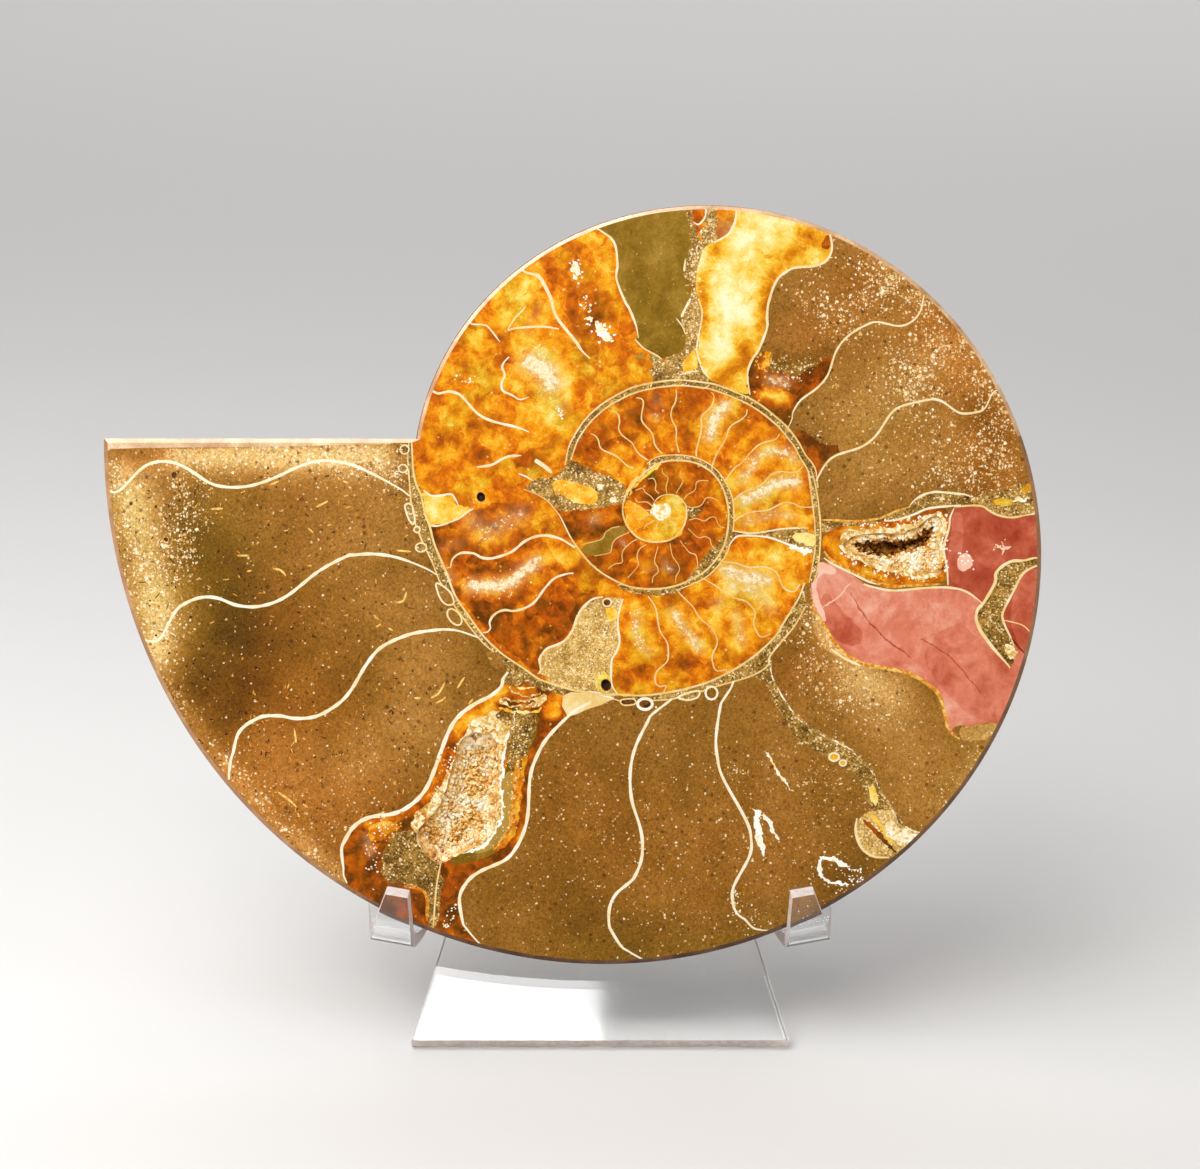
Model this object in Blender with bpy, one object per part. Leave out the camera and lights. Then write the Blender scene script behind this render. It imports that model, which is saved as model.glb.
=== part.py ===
"""One sawn and polished half of an ammonite, resting in a clear easel bent from one acrylic sheet.

Sizes are in millimetres and become metres where a mesh is made. The fossil is drawn in the frame of its
polished face: u runs right and v up along the face, w runs back into the stone, and the middle of the
coil is at zero. The easel is drawn as a flat sheet that is then bent along its path, seen from the side.
"""

from math import asin, cos, degrees, exp, hypot, pi, radians, sin

import bmesh
import bpy
from mathutils import Vector

MM = 0.001

# The coil: a growth spiral that shrinks by the same share each turn, with a slight egg shape.
MOUTH_RADIUS = 113.0
MOUTH_ANGLE = 172.8
GROWTH_RATE = 0.1288
TURN_GROWTH = exp(GROWTH_RATE * 2 * pi)
EGG_TERMS = (-0.0114, 0.0026, 0.0059, 0.0032)

# The sawn mouth of the body chamber runs straight from its corner to the notch against the coil.
MOUTH_LEVEL = 13.9
COLUMN_STEP = 4.0
COLUMNS_PER_TURN = 90
SKEWED_COLUMNS = 6
BACK_TURNS = 2
CROSSING_STEPS = 20

# The whorl's flank on the rounded back, as shares of the whorl's radius. The powers set its roundness:
# from the shoulder out to the rim it falls like a lens, and from the seam to the shoulder it rises steeply.
FLANK_DEPTH = 0.19
SEAM_SHARE = 0.2
SHOULDER_SHARE = 0.38
LENS_POWERS = (1.6, 0.8)
SHOULDER_POWER = 0.6
RIM_EDGE_SHARE = 0.6
SMOOTH_ANGLE = radians(35.0)
UMBILICAL_SHARES = (0.2, 0.212, 0.235, 0.27, 0.34)
FLANK_SHARES = (0.54, 0.63, 0.71, 0.79, 0.86, 0.915, 0.955, 0.985)
CENTRE_DEPTH = 3.4

# The polished face ends in a small bevel all round.
BEVEL_WIDTH = 1.3
BEVEL_DEPTH = 0.6

# How the pair stands.
FACE_LEAN = radians(15.0)
COIL_BEHIND_FOOT = 30.4
COIL_HEIGHT = 102.8

# Open hollows between the chambers, drawn on the face.
UPPER_HOLLOW = (
    (36.4, -7.4), (38.5, -5.6), (43.0, -5.0), (48.0, -4.7), (51.5, -3.6), (53.6, -1.9), (55.6, -1.5),
    (56.2, -3.6), (55.6, -6.2), (55.9, -9.0), (56.4, -12.4), (53.5, -13.2), (49.5, -13.0), (45.0, -11.9),
    (41.0, -10.3), (38.2, -9.0),
)
LOWER_HOLLOW = (
    (-36.5, -44.6), (-33.2, -46.0), (-32.2, -50.0), (-32.4, -56.0), (-32.8, -61.0), (-33.6, -65.4),
    (-37.0, -67.6), (-41.0, -69.8), (-44.3, -71.2), (-47.0, -69.6), (-49.2, -66.0), (-47.4, -62.8),
    (-45.0, -60.2), (-43.4, -57.0), (-42.6, -54.0), (-41.4, -50.4), (-40.4, -47.2), (-38.6, -45.3),
)
HOLLOWS = (("upper_hollow", UPPER_HOLLOW, 8.0), ("lower_hollow", LOWER_HOLLOW, 5.0))
PITS = ((-36.0, 2.2, 0.9), (-11.0, -35.4, 1.1))
PIT_DEPTH = 2.2
PIT_CORNERS = 8
# A hollow's or a pit's rings, as (share of its depth, share of its outline). Cutters start above the face.
HOLLOW_RINGS = ((0.0, 1.0), (0.45, 0.97), (0.8, 0.86), (1.0, 0.66))
PIT_RINGS = ((0.6, 0.85), (1.0, 0.4))
ABOVE_FACE = -1.0
LEAST_KEPT = 0.2

# The crust of crystals in a hollow: its gap to the stone, its floor, and points of uneven length.
CRUST_GAP = 0.35
CRUST_THICKNESS = 1.3
CRUST_SIDE_GAP = 1.6 * CRUST_GAP
CRUST_FLOOR_RISE = 0.15
CRUST_DRAW_IN = 0.97
CRYSTAL_LENGTH = 1.5
SHORTEST_CRYSTAL = 0.55
CRYSTAL_RHYTHM = 2.4

# The easel's sheet and its bends.
SHEET = 3.0
BEND_STEPS = 10
CREASE_STEPS = 4
EASEL_CENTRE = -12.2
PANEL_HALF_WIDTH = 47.3
FOOT_SLOPE = 41.0
FOOT_LENGTH = 25.6
FOOT_HALF_WIDTH = 37.6
FOOT_ROOT_HALF_WIDTH = 28.2
FOOT_BEND_RADIUS = 8.0
PANEL_SLOPE = 64.0
SLIT_RISE = 7.0
PANEL_LENGTH = 77.0
PANEL_TAPER_AT = 0.4
TOP_BEND_RADIUS = 9.0
REAR_SLOPE = -73.0
REAR_HALF_WIDTH = 28.0
SOLE_TRIM = 0.45
SOLE_CUTTER_SIDE = 400.0
SLIT_ROOT = 31.5
PRONG_LEAN = radians(10.0)
PRONG_STRAIGHT = 3.6
PRONG_BEND_RADIUS = 8.5
PRONG_BEND = radians(139.0)
PRONG_LIP = 6.4
PRONG_WIDTHS = ((0.0, 15.8), (4.0, 14.2), (13.0, 9.8), (24.0, 7.1), (31.0, 4.4))


def clear_scene():
    for thing in list(bpy.data.objects):
        bpy.data.objects.remove(thing, do_unlink=True)


def material(name, colour, roughness, alpha=1.0, transmission=0.0):
    made = bpy.data.materials.new(name)
    made.use_nodes = True
    shader = made.node_tree.nodes["Principled BSDF"]
    shader.inputs["Base Color"].default_value = (*colour, 1.0)
    shader.inputs["Roughness"].default_value = roughness
    shader.inputs["Metallic"].default_value = 0.0
    shader.inputs["Alpha"].default_value = alpha
    shader.inputs["Transmission Weight"].default_value = transmission
    made.diffuse_color = (*colour, alpha)
    return made


def make_object(name, mesh_edit, finish, parent):
    mesh = bpy.data.meshes.new(name)
    bmesh.ops.recalc_face_normals(mesh_edit, faces=mesh_edit.faces)
    mesh_edit.to_mesh(mesh)
    mesh_edit.free()
    mesh.materials.append(finish)
    made = bpy.data.objects.new(name, mesh)
    made.parent = parent
    bpy.context.scene.collection.objects.link(made)
    return made


def cut(target, cutter):
    cutter.hide_render = True
    cutter.display_type = "WIRE"
    boolean = target.modifiers.new("cut " + cutter.name, "BOOLEAN")
    boolean.operation = "DIFFERENCE"
    boolean.solver = "EXACT"
    boolean.object = cutter


def smooth_by_angle(thing):
    thing.data.shade_smooth()
    thing.data.set_sharp_from_angle(angle=SMOOTH_ANGLE)


# ---- the coil -------------------------------------------------------------------------------------


def coil_radius(angle):
    """The outer edge's distance from the middle, for an angle in degrees counted on past each full turn."""
    turn = radians(angle - MOUTH_ANGLE)
    first_cos, first_sin, second_cos, second_sin = EGG_TERMS
    egg = first_cos * cos(turn) + first_sin * sin(turn)
    egg += second_cos * cos(2 * turn) + second_sin * sin(2 * turn)
    return MOUTH_RADIUS * exp(egg - GROWTH_RATE * turn)


def flank_shape(share):
    """How far the flank stands back at this share of the radius, as a share of its full depth."""
    if share >= SHOULDER_SHARE:
        fall = min(1.0, (share - SHOULDER_SHARE) / (1 - SHOULDER_SHARE))
        return (1 - fall ** LENS_POWERS[0]) ** LENS_POWERS[1]
    seam_level = flank_shape(SEAM_SHARE * TURN_GROWTH) / TURN_GROWTH
    rise = max(0.0, (share - SEAM_SHARE) / (SHOULDER_SHARE - SEAM_SHARE))
    return seam_level + (1 - seam_level) * sin(rise * pi / 2) ** SHOULDER_POWER


def flank_point(angle, share):
    """A point on the back, as (u, v, w)."""
    full = coil_radius(angle)
    direction = radians(angle)
    depth = FLANK_DEPTH * full * flank_shape(share)
    return (share * full * cos(direction), share * full * sin(direction), depth)


def mouth_crossing(share, turns_in=0):
    """The angle where the mouth's line crosses this share of the coil's radius, whole turns further in."""
    angle = MOUTH_ANGLE
    for _ in range(CROSSING_STEPS):
        reach = share * coil_radius(angle + 360.0 * turns_in)
        angle = 180.0 - degrees(asin(MOUTH_LEVEL / reach))
    return angle


def face_vertex(mesh_edit, u, v, w):
    return mesh_edit.verts.new((u * MM, w * MM, v * MM))


def back_rows(mesh_edit, start):
    """Vertices of the rounded back: rows[k][j] for column k around the coil and share j outwards."""
    join_share = SEAM_SHARE * TURN_GROWTH
    inner_count = len(UMBILICAL_SHARES)
    shares = UMBILICAL_SHARES + (join_share,) + FLANK_SHARES
    skews = [mouth_crossing(share) - start if share > join_share else 0.0 for share in shares]
    rows = []
    for k in range(BACK_TURNS * COLUMNS_PER_TURN + 1):
        angle = start + COLUMN_STEP * k
        row = []
        for j, share in enumerate(shares):
            if j > inner_count and k > COLUMNS_PER_TURN:
                break
            if j == inner_count and k >= COLUMNS_PER_TURN:
                row.append(rows[k - COLUMNS_PER_TURN][0])
                continue
            relax = max(0.0, 1 - k / SKEWED_COLUMNS)
            row.append(face_vertex(mesh_edit, *flank_point(angle + skews[j] * relax, share)))
        rows.append(row)
    return rows


def rim_rows(mesh_edit, start, rows):
    """Vertices of the outer edge: for each column the shoulder, the edge and the bevelled face's edge."""
    mouth_skew = mouth_crossing(1.0) - start
    rim = []
    for k in range(COLUMNS_PER_TURN + 1):
        relax = max(0.0, 1 - k / SKEWED_COLUMNS)
        angle = start + COLUMN_STEP * k + mouth_skew * relax
        full = coil_radius(angle)
        u = full * cos(radians(angle))
        v = full * sin(radians(angle))
        shoulder = rows[k][-1].co.y / MM * RIM_EDGE_SHARE
        inset = 1 - BEVEL_WIDTH / full
        down = BEVEL_WIDTH if k == 0 else 0.0
        rim.append((
            face_vertex(mesh_edit, u, v, shoulder),
            face_vertex(mesh_edit, u, v, BEVEL_DEPTH),
            face_vertex(mesh_edit, u * inset, v * inset - down, 0.0),
        ))
    return rim


def strip(mesh_edit, first, second):
    """Faces between two chains of vertices of the same length, leaving out sides that have no length."""
    for a, b, c, d in zip(first, first[1:], second[1:], second):
        corners = list(dict.fromkeys((a, b, c, d)))
        if len(corners) > 2:
            mesh_edit.faces.new(corners)


def add_mouth(mesh_edit, rows, rim):
    """The sawn mouth's wall and the step from it down to the coil; returns the face's edge."""
    inner_count = len(UMBILICAL_SHARES)
    top = rows[0][inner_count:]
    last_shoulder, last_edge, last_face = rim[-1]
    edge = [last_edge]
    face = [last_face]
    for vertex in top[1:]:
        u, _, v = vertex.co / MM
        edge.append(face_vertex(mesh_edit, u, v, BEVEL_DEPTH))
        face.append(face_vertex(mesh_edit, u, v - BEVEL_WIDTH, 0.0))
    strip(mesh_edit, top, edge)
    strip(mesh_edit, edge, face)
    corner_shoulder, corner_edge, corner_face = rim[0]
    mesh_edit.faces.new((top[-1], corner_shoulder, corner_edge, edge[-1]))
    mesh_edit.faces.new((edge[-1], corner_edge, corner_face, face[-1]))
    step = rows[0][: inner_count + 1] + [last_edge, last_shoulder]
    step += rows[COLUMNS_PER_TURN][:inner_count:-1]
    mesh_edit.faces.new(step)
    return face[1:]


def add_umbilicus_floor(mesh_edit, rows):
    """Closes the innermost turn with a fan around one middle point."""
    centre = face_vertex(mesh_edit, 0.0, 0.0, CENTRE_DEPTH)
    loop = [row[0] for row in rows[COLUMNS_PER_TURN:]]
    loop += rows[-1][1 : len(UMBILICAL_SHARES)]
    for first, second in zip(loop, loop[1:] + loop[:1]):
        mesh_edit.faces.new((first, second, centre))


def make_ammonite(finish, parent):
    mesh_edit = bmesh.new()
    start = mouth_crossing(1.0, turns_in=1)
    rows = back_rows(mesh_edit, start)
    rim = rim_rows(mesh_edit, start, rows)
    inner_count = len(UMBILICAL_SHARES)
    for k in range(BACK_TURNS * COLUMNS_PER_TURN):
        keep = None if k < COLUMNS_PER_TURN else inner_count + 1
        strip(mesh_edit, rows[k][:keep], rows[k + 1][:keep])
    strip(mesh_edit, [row[-1] for row in rows[: COLUMNS_PER_TURN + 1]], [loops[0] for loops in rim])
    strip(mesh_edit, [loops[0] for loops in rim], [loops[1] for loops in rim])
    strip(mesh_edit, [loops[1] for loops in rim], [loops[2] for loops in rim])
    mouth_face = add_mouth(mesh_edit, rows, rim)
    add_umbilicus_floor(mesh_edit, rows)
    mesh_edit.faces.new([loops[2] for loops in rim] + mouth_face)
    made = make_object("ammonite_half", mesh_edit, finish, parent)
    smooth_by_angle(made)
    return made


# ---- hollows, pits and crystals ---------------------------------------------------------------------


def middle_of(outline):
    count = len(outline)
    return (sum(point[0] for point in outline) / count, sum(point[1] for point in outline) / count)


def ring_at(mesh_edit, outline, share, w, inset=0.0):
    """The outline drawn in towards its middle by a share and then by a distance, at depth w."""
    middle_u, middle_v = middle_of(outline)
    ring = []
    for u, v in outline:
        away_u = u - middle_u
        away_v = v - middle_v
        reach = hypot(away_u, away_v)
        keep = share * max(LEAST_KEPT, 1 - inset / reach)
        ring.append(face_vertex(mesh_edit, middle_u + away_u * keep, middle_v + away_v * keep, w))
    return ring


def loft(mesh_edit, rings):
    """Bands of faces from each ring of vertices to the next."""
    faces = []
    for lower, upper in zip(rings, rings[1:]):
        for i, vertex in enumerate(lower):
            j = (i + 1) % len(lower)
            faces.append(mesh_edit.faces.new((vertex, lower[j], upper[j], upper[i])))
    return faces


def make_hollow_cutter(name, outline, depth, shape, finish, parent):
    mesh_edit = bmesh.new()
    rings = [ring_at(mesh_edit, outline, 1.0, ABOVE_FACE)]
    rings += [ring_at(mesh_edit, outline, share, level * depth) for level, share in shape]
    loft(mesh_edit, rings)
    mesh_edit.faces.new(rings[0])
    mesh_edit.faces.new(rings[-1])
    return make_object(name, mesh_edit, finish, parent)


def pit_outline(u, v, radius):
    turns = [2 * pi * i / PIT_CORNERS for i in range(PIT_CORNERS)]
    return [(u + radius * cos(turn), v + radius * sin(turn)) for turn in turns]


def make_crust(name, outline, depth, finish, parent):
    """A bowl of pointed crystals that lines a hollow, a hair clear of the stone all round."""
    mesh_edit = bmesh.new()
    floor_w = depth - CRUST_THICKNESS - CRUST_GAP
    outer = []
    inner = []
    for level, share in HOLLOW_RINGS:
        w = max(CRUST_GAP, level * depth - CRUST_GAP)
        outer.append(ring_at(mesh_edit, outline, share, w, CRUST_SIDE_GAP))
        inner_w = min(w, floor_w) + CRUST_FLOOR_RISE
        inner_share = share * CRUST_DRAW_IN
        inner.append(ring_at(mesh_edit, outline, inner_share, inner_w, CRUST_THICKNESS + CRUST_GAP))
    loft(mesh_edit, outer)
    mesh_edit.faces.new(outer[-1])
    loft(mesh_edit, [outer[0], inner[0]])
    crystal_faces = loft(mesh_edit, inner)
    middle = face_vertex(mesh_edit, *middle_of(outline), floor_w)
    floor = inner[-1]
    for first, second in zip(floor, floor[1:] + floor[:1]):
        crystal_faces.append(mesh_edit.faces.new((first, second, middle)))
    bmesh.ops.recalc_face_normals(mesh_edit, faces=mesh_edit.faces)
    for i, face in enumerate(crystal_faces):
        point = bmesh.ops.poke(mesh_edit, faces=[face])["verts"][0]
        unevenness = sin(CRYSTAL_RHYTHM * i) ** 2
        length = CRYSTAL_LENGTH * (SHORTEST_CRYSTAL + (1 - SHORTEST_CRYSTAL) * unevenness)
        point.co += face_normal_of(point) * length * MM
        point.co.y = max(point.co.y, CRUST_GAP * MM)
    return make_object(name, mesh_edit, finish, parent)


def face_normal_of(vertex):
    total = Vector((0.0, 0.0, 0.0))
    for face in vertex.link_faces:
        face.normal_update()
        total += face.normal
    return total.normalized()


# ---- the bent easel ---------------------------------------------------------------------------------


def run(point, length, slope):
    """The point reached from (y, z) by going this far at a slope in degrees."""
    y, z = point
    return (y + length * cos(radians(slope)), z + length * sin(radians(slope)))


def bend(point, radius, slope, turn, steps):
    """Points of a bend in the side view that starts at a point with this slope and turns on in steps."""
    points = []
    step = turn / steps
    chord = 2 * radius * sin(radians(abs(step) / 2))
    for i in range(steps):
        point = run(point, chord, slope + step * (i + 0.5))
        points.append(point)
    return points


def row_across(mesh_edit, point, positions):
    y, z = point
    return [mesh_edit.verts.new((x * MM, y * MM, z * MM)) for x in positions]


def width_at(distance):
    """A prong's width at this distance from its root, from the tapering widths it is cut to."""
    for (start, wide), (end, narrow) in zip(PRONG_WIDTHS, PRONG_WIDTHS[1:]):
        if distance <= end:
            return wide + (narrow - wide) * (distance - start) / (end - start)
    return PRONG_WIDTHS[-1][1]


def prong_rows(mesh_edit, root, side):
    """Rows of two vertices along a prong, inner one first: down the panel, round the bend, up the lip."""
    slope = radians(PANEL_SLOPE)
    down = Vector((0.0, -cos(slope), -sin(slope)))
    front = Vector((0.0, -sin(slope), cos(slope)))
    outward = Vector((side, 0.0, 0.0))
    along = outward * sin(PRONG_LEAN) + down * cos(PRONG_LEAN)
    across = outward * cos(PRONG_LEAN) - down * sin(PRONG_LEAN)
    bend_start = root + along * PRONG_STRAIGHT
    bend_length = PRONG_BEND_RADIUS * PRONG_BEND
    stations = [(bend_start, PRONG_STRAIGHT)]
    for i in range(1, BEND_STEPS + 1):
        turn = PRONG_BEND * i / BEND_STEPS
        place = along * sin(turn) + front * (1 - cos(turn))
        distance = PRONG_STRAIGHT + bend_length * i / BEND_STEPS
        stations.append((bend_start + place * PRONG_BEND_RADIUS, distance))
    heading = along * cos(PRONG_BEND) + front * sin(PRONG_BEND)
    stations.append((stations[-1][0] + heading * PRONG_LIP, PRONG_STRAIGHT + bend_length + PRONG_LIP))
    rows = []
    for place, distance in stations:
        half = width_at(distance) / 2
        rows.append([mesh_edit.verts.new((place + across * reach) * MM) for reach in (-half, half)])
    return rows


def add_panel(mesh_edit, start):
    """The panel, the bend over its top and the rear leg; returns the panel's lowest row."""
    taper = run(start, PANEL_LENGTH * PANEL_TAPER_AT, PANEL_SLOPE)
    top = run(start, PANEL_LENGTH, PANEL_SLOPE)
    over = bend(top, TOP_BEND_RADIUS, PANEL_SLOPE, REAR_SLOPE - PANEL_SLOPE, BEND_STEPS)
    drop = over[-1][1] + SOLE_TRIM - SHEET / 2 * cos(radians(REAR_SLOPE))
    rear_foot = run(over[-1], drop / sin(radians(-REAR_SLOPE)), REAR_SLOPE)
    right_half = (FOOT_ROOT_HALF_WIDTH, SLIT_ROOT, PANEL_HALF_WIDTH)
    across = tuple(-x for x in reversed(right_half)) + right_half
    rows = [row_across(mesh_edit, point, across) for point in (start, taper)]
    narrow = [x * REAR_HALF_WIDTH / PANEL_HALF_WIDTH for x in across]
    rows += [row_across(mesh_edit, point, narrow) for point in (top, *over, rear_foot)]
    for lower, upper in zip(rows, rows[1:]):
        strip(mesh_edit, lower, upper)
    return rows[0]


def add_foot(mesh_edit, points, root):
    """The foot, which widens evenly from the panel's lowest row down to its own end."""
    length = hypot(points[-1][0] - points[0][0], points[-1][1] - points[0][1])
    row = root
    for y, z in reversed(points[:-1]):
        travelled = hypot(points[-1][0] - y, points[-1][1] - z)
        half = FOOT_ROOT_HALF_WIDTH + (FOOT_HALF_WIDTH - FOOT_ROOT_HALF_WIDTH) * travelled / length
        below = row_across(mesh_edit, (y, z), (-half, half))
        strip(mesh_edit, row, below)
        row = below


def add_prong(mesh_edit, root, side):
    middle = (root[0].co + root[1].co) / 2 / MM
    row = root
    for below in prong_rows(mesh_edit, middle, side):
        strip(mesh_edit, row, below)
        row = below


def make_easel(finish, parent):
    mesh_edit = bmesh.new()
    half_sheet = SHEET / 2
    slope = radians(FOOT_SLOPE)
    foot_end = (-half_sheet * sin(slope), half_sheet * cos(slope) - SOLE_TRIM)
    foot_top = run(foot_end, FOOT_LENGTH, FOOT_SLOPE)
    crease = bend(foot_top, FOOT_BEND_RADIUS, FOOT_SLOPE, PANEL_SLOPE - FOOT_SLOPE, CREASE_STEPS)
    slit_end = run(crease[-1], SLIT_RISE, PANEL_SLOPE)
    root_row = add_panel(mesh_edit, slit_end)
    add_foot(mesh_edit, [foot_end, foot_top, *crease, slit_end], root_row[2:4])
    add_prong(mesh_edit, root_row[1::-1], -1)
    add_prong(mesh_edit, root_row[4:], 1)
    easel = make_object("acrylic_stand", mesh_edit, finish, parent)
    smooth_by_angle(easel)
    easel.location.x = EASEL_CENTRE * MM
    thickness = easel.modifiers.new("sheet thickness", "SOLIDIFY")
    thickness.thickness = SHEET * MM
    thickness.offset = 0.0
    thickness.use_even_offset = True
    return easel


def make_sole_cutter(finish, parent):
    """A block under the table level that trims the sheet's two lower ends to stand flat."""
    mesh_edit = bmesh.new()
    bmesh.ops.create_cube(mesh_edit, size=SOLE_CUTTER_SIDE * MM)
    for vertex in mesh_edit.verts:
        vertex.co.z -= SOLE_CUTTER_SIDE * MM / 2
    return make_object("sole_cutter", mesh_edit, finish, parent)


def centre_on_table(root, things):
    """Moves the whole so that the middle of its underside is at the origin."""
    bpy.context.view_layer.update()
    graph = bpy.context.evaluated_depsgraph_get()
    corners = []
    for thing in things:
        shaped = thing.evaluated_get(graph)
        corners += [shaped.matrix_world @ vertex.co for vertex in shaped.data.vertices]
    low = [min(corner[i] for corner in corners) for i in range(3)]
    high = [max(corner[i] for corner in corners) for i in range(3)]
    root.location = (-(low[0] + high[0]) / 2, -(low[1] + high[1]) / 2, -low[2])


def main():
    clear_scene()
    root = bpy.data.objects.new("ammonite_on_easel", None)
    bpy.context.scene.collection.objects.link(root)
    stone = material("polished_stone", (0.33, 0.17, 0.06), 0.22)
    calcite = material("calcite_crystals", (0.78, 0.62, 0.36), 0.35)
    acrylic = material("clear_acrylic", (0.93, 0.95, 0.95), 0.05, 0.35, 0.9)
    helper = material("cutter", (0.5, 0.5, 0.5), 0.5)
    lean = bpy.data.objects.new("face_frame", None)
    bpy.context.scene.collection.objects.link(lean)
    lean.parent = root
    lean.rotation_euler.x = -FACE_LEAN
    lean.location = (0.0, COIL_BEHIND_FOOT * MM, COIL_HEIGHT * MM)
    ammonite = make_ammonite(stone, lean)
    crusts = []
    for name, outline, depth in HOLLOWS:
        cut(ammonite, make_hollow_cutter(name + "_cutter", outline, depth, HOLLOW_RINGS, helper, lean))
        crusts.append(make_crust(name + "_crystals", outline, depth, calcite, lean))
    for i, pit in enumerate(PITS):
        name = f"pit_cutter_{i + 1}"
        cut(ammonite, make_hollow_cutter(name, pit_outline(*pit), PIT_DEPTH, PIT_RINGS, helper, lean))
    easel = make_easel(acrylic, root)
    cut(easel, make_sole_cutter(helper, root))
    centre_on_table(root, [ammonite, easel, *crusts])


main()
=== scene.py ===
# %% [markdown]
# # A polished ammonite half in a clear easel
#
# An ammonite grew its shell as a coil and closed off one chamber after another behind its body. Mud and
# crystals filled the chambers, and the shell was buried and turned to stone. The stone was then sawn in
# two through the middle of the coil, and the sawn face was polished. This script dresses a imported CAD
# model of such a half: the CAD gives the true size and place, and the script gives the fine surface.
#
# Every length that is read along the polished face is in millimetres, as (u, v): u runs right and v runs
# up along the face, from the middle of the coil. One function turns them into metres in the room.

# %% Load the frame
import random
from math import asin, atan2, cos, degrees, exp, hypot, pi, radians, sin

import bmesh
import bpy
import numpy as np
from mathutils import Matrix, Vector, noise
from mathutils.geometry import delaunay_2d_cdt
from mathutils.kdtree import KDTree


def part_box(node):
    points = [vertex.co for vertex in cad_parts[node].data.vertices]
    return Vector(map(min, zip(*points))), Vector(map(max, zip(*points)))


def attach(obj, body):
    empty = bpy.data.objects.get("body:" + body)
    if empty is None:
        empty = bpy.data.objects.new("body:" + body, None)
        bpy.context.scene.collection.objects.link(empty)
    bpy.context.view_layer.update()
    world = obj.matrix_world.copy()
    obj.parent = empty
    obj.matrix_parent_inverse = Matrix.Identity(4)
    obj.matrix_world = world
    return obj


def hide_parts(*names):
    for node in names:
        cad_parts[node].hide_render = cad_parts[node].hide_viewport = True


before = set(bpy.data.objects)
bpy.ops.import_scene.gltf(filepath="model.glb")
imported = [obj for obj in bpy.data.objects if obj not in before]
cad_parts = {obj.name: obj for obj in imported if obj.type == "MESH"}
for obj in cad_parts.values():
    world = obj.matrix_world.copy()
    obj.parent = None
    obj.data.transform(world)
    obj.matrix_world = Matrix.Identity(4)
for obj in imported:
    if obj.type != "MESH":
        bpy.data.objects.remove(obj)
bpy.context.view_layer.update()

MM = 0.001
print("CAD nodes:", ", ".join(sorted(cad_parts)))

# %% [markdown]
# ## The growth spiral
#
# The shell widens by the same share each turn, so its outline is a logarithmic spiral. A real one is
# never quite even, and four small terms make it slightly egg-shaped. The outline could be drawn by hand,
# but the formula gives a smooth edge at any fineness, and the back of the shell can use it too. These
# numbers are the same as in the CAD source, so both shapes agree.

# %% Spiral
MOUTH_RADIUS = 113.0
MOUTH_ANGLE = 172.8
MOUTH_LEVEL = 13.9
GROWTH_RATE = 0.1288
TURN_GROWTH = exp(GROWTH_RATE * 2 * pi)
EGG_TERMS = (-0.0114, 0.0026, 0.0059, 0.0032)
FACE_LEAN = radians(15.0)


def coil_radius(angle):
    """Distance of the outer edge from the middle, for an angle in degrees counted on past each turn."""
    turn = radians(angle - MOUTH_ANGLE)
    first_cos, first_sin, second_cos, second_sin = EGG_TERMS
    egg = first_cos * cos(turn) + first_sin * sin(turn)
    egg += second_cos * cos(2 * turn) + second_sin * sin(2 * turn)
    return MOUTH_RADIUS * exp(egg - GROWTH_RATE * turn)


def mouth_crossing(share, turns_in=0):
    """The angle where the line of the mouth crosses this share of the radius, whole turns further in."""
    angle = MOUTH_ANGLE
    for _ in range(20):
        reach = share * coil_radius(angle + 360.0 * turns_in)
        angle = 180.0 - degrees(asin(MOUTH_LEVEL / reach))
    return angle


START = mouth_crossing(1.0, turns_in=1)
CORNER = mouth_crossing(1.0)


def polar(angle, radius):
    return (radius * cos(radians(angle)), radius * sin(radians(angle)))


def outline(step=1.0):
    """The face's outline: along the coil from the mouth's corner round to the notch, one turn in."""
    count = int((START + 360.0 - CORNER) / step)
    angles = [CORNER + (START + 360.0 - CORNER) * i / count for i in range(count + 1)]
    return [polar(angle, coil_radius(angle)) for angle in angles]


edge = outline()
print("outline points:", len(edge), "from", [round(x, 1) for x in edge[0]], "to", [round(x, 1) for x in edge[-1]])

# %% [markdown]
# ## Where the face is
#
# The stone leans back by 15 degrees. The face's frame is found from the CAD box of the stone: the
# outline's leftmost point touches the box's left side, its lowest edge touches the front, and its highest
# edge touches the top. So nothing is measured twice, and if the CAD moves, the looks move along.

# %% Face frame
RIM_DEPTH = 0.6
stone_low, stone_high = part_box("ammonite_half")
tilt = Matrix.Rotation(-FACE_LEAN, 3, "X")
leaning = [tilt @ Vector((u, RIM_DEPTH, v)) * MM for u, v in edge]
FACE_ORIGIN = Vector((
    stone_low.x - min(point.x for point in leaning),
    stone_low.y - min(point.y for point in leaning),
    stone_high.z - max(point.z for point in leaning),
))


def on_face(u, v, w=0.0):
    """A point of the face's frame in the room: w is the depth behind the polished plane."""
    return FACE_ORIGIN + tilt @ Vector((u, w, v)) * MM


FACE_OUT = tilt @ Vector((0.0, -1.0, 0.0))
print("middle of the coil, mm:", [round(x * 1000, 2) for x in FACE_ORIGIN])

# %% [markdown]
# ## Camera, floor and light
#
# The object is looked at squarely onto its polished face from about three paces with a long lens, so the
# face keeps its true shape. A polished stone mirrors whatever stands in front of it, so the space behind the
# camera stays dark and the colours stay deep. A large soft light from the front and above shows the
# colours, a wide one overhead is mirrored by the easel's sloping foot as a white sheet, a narrow one at the
# right draws a line along the rim, and one far behind keeps the pale floor even.

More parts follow.
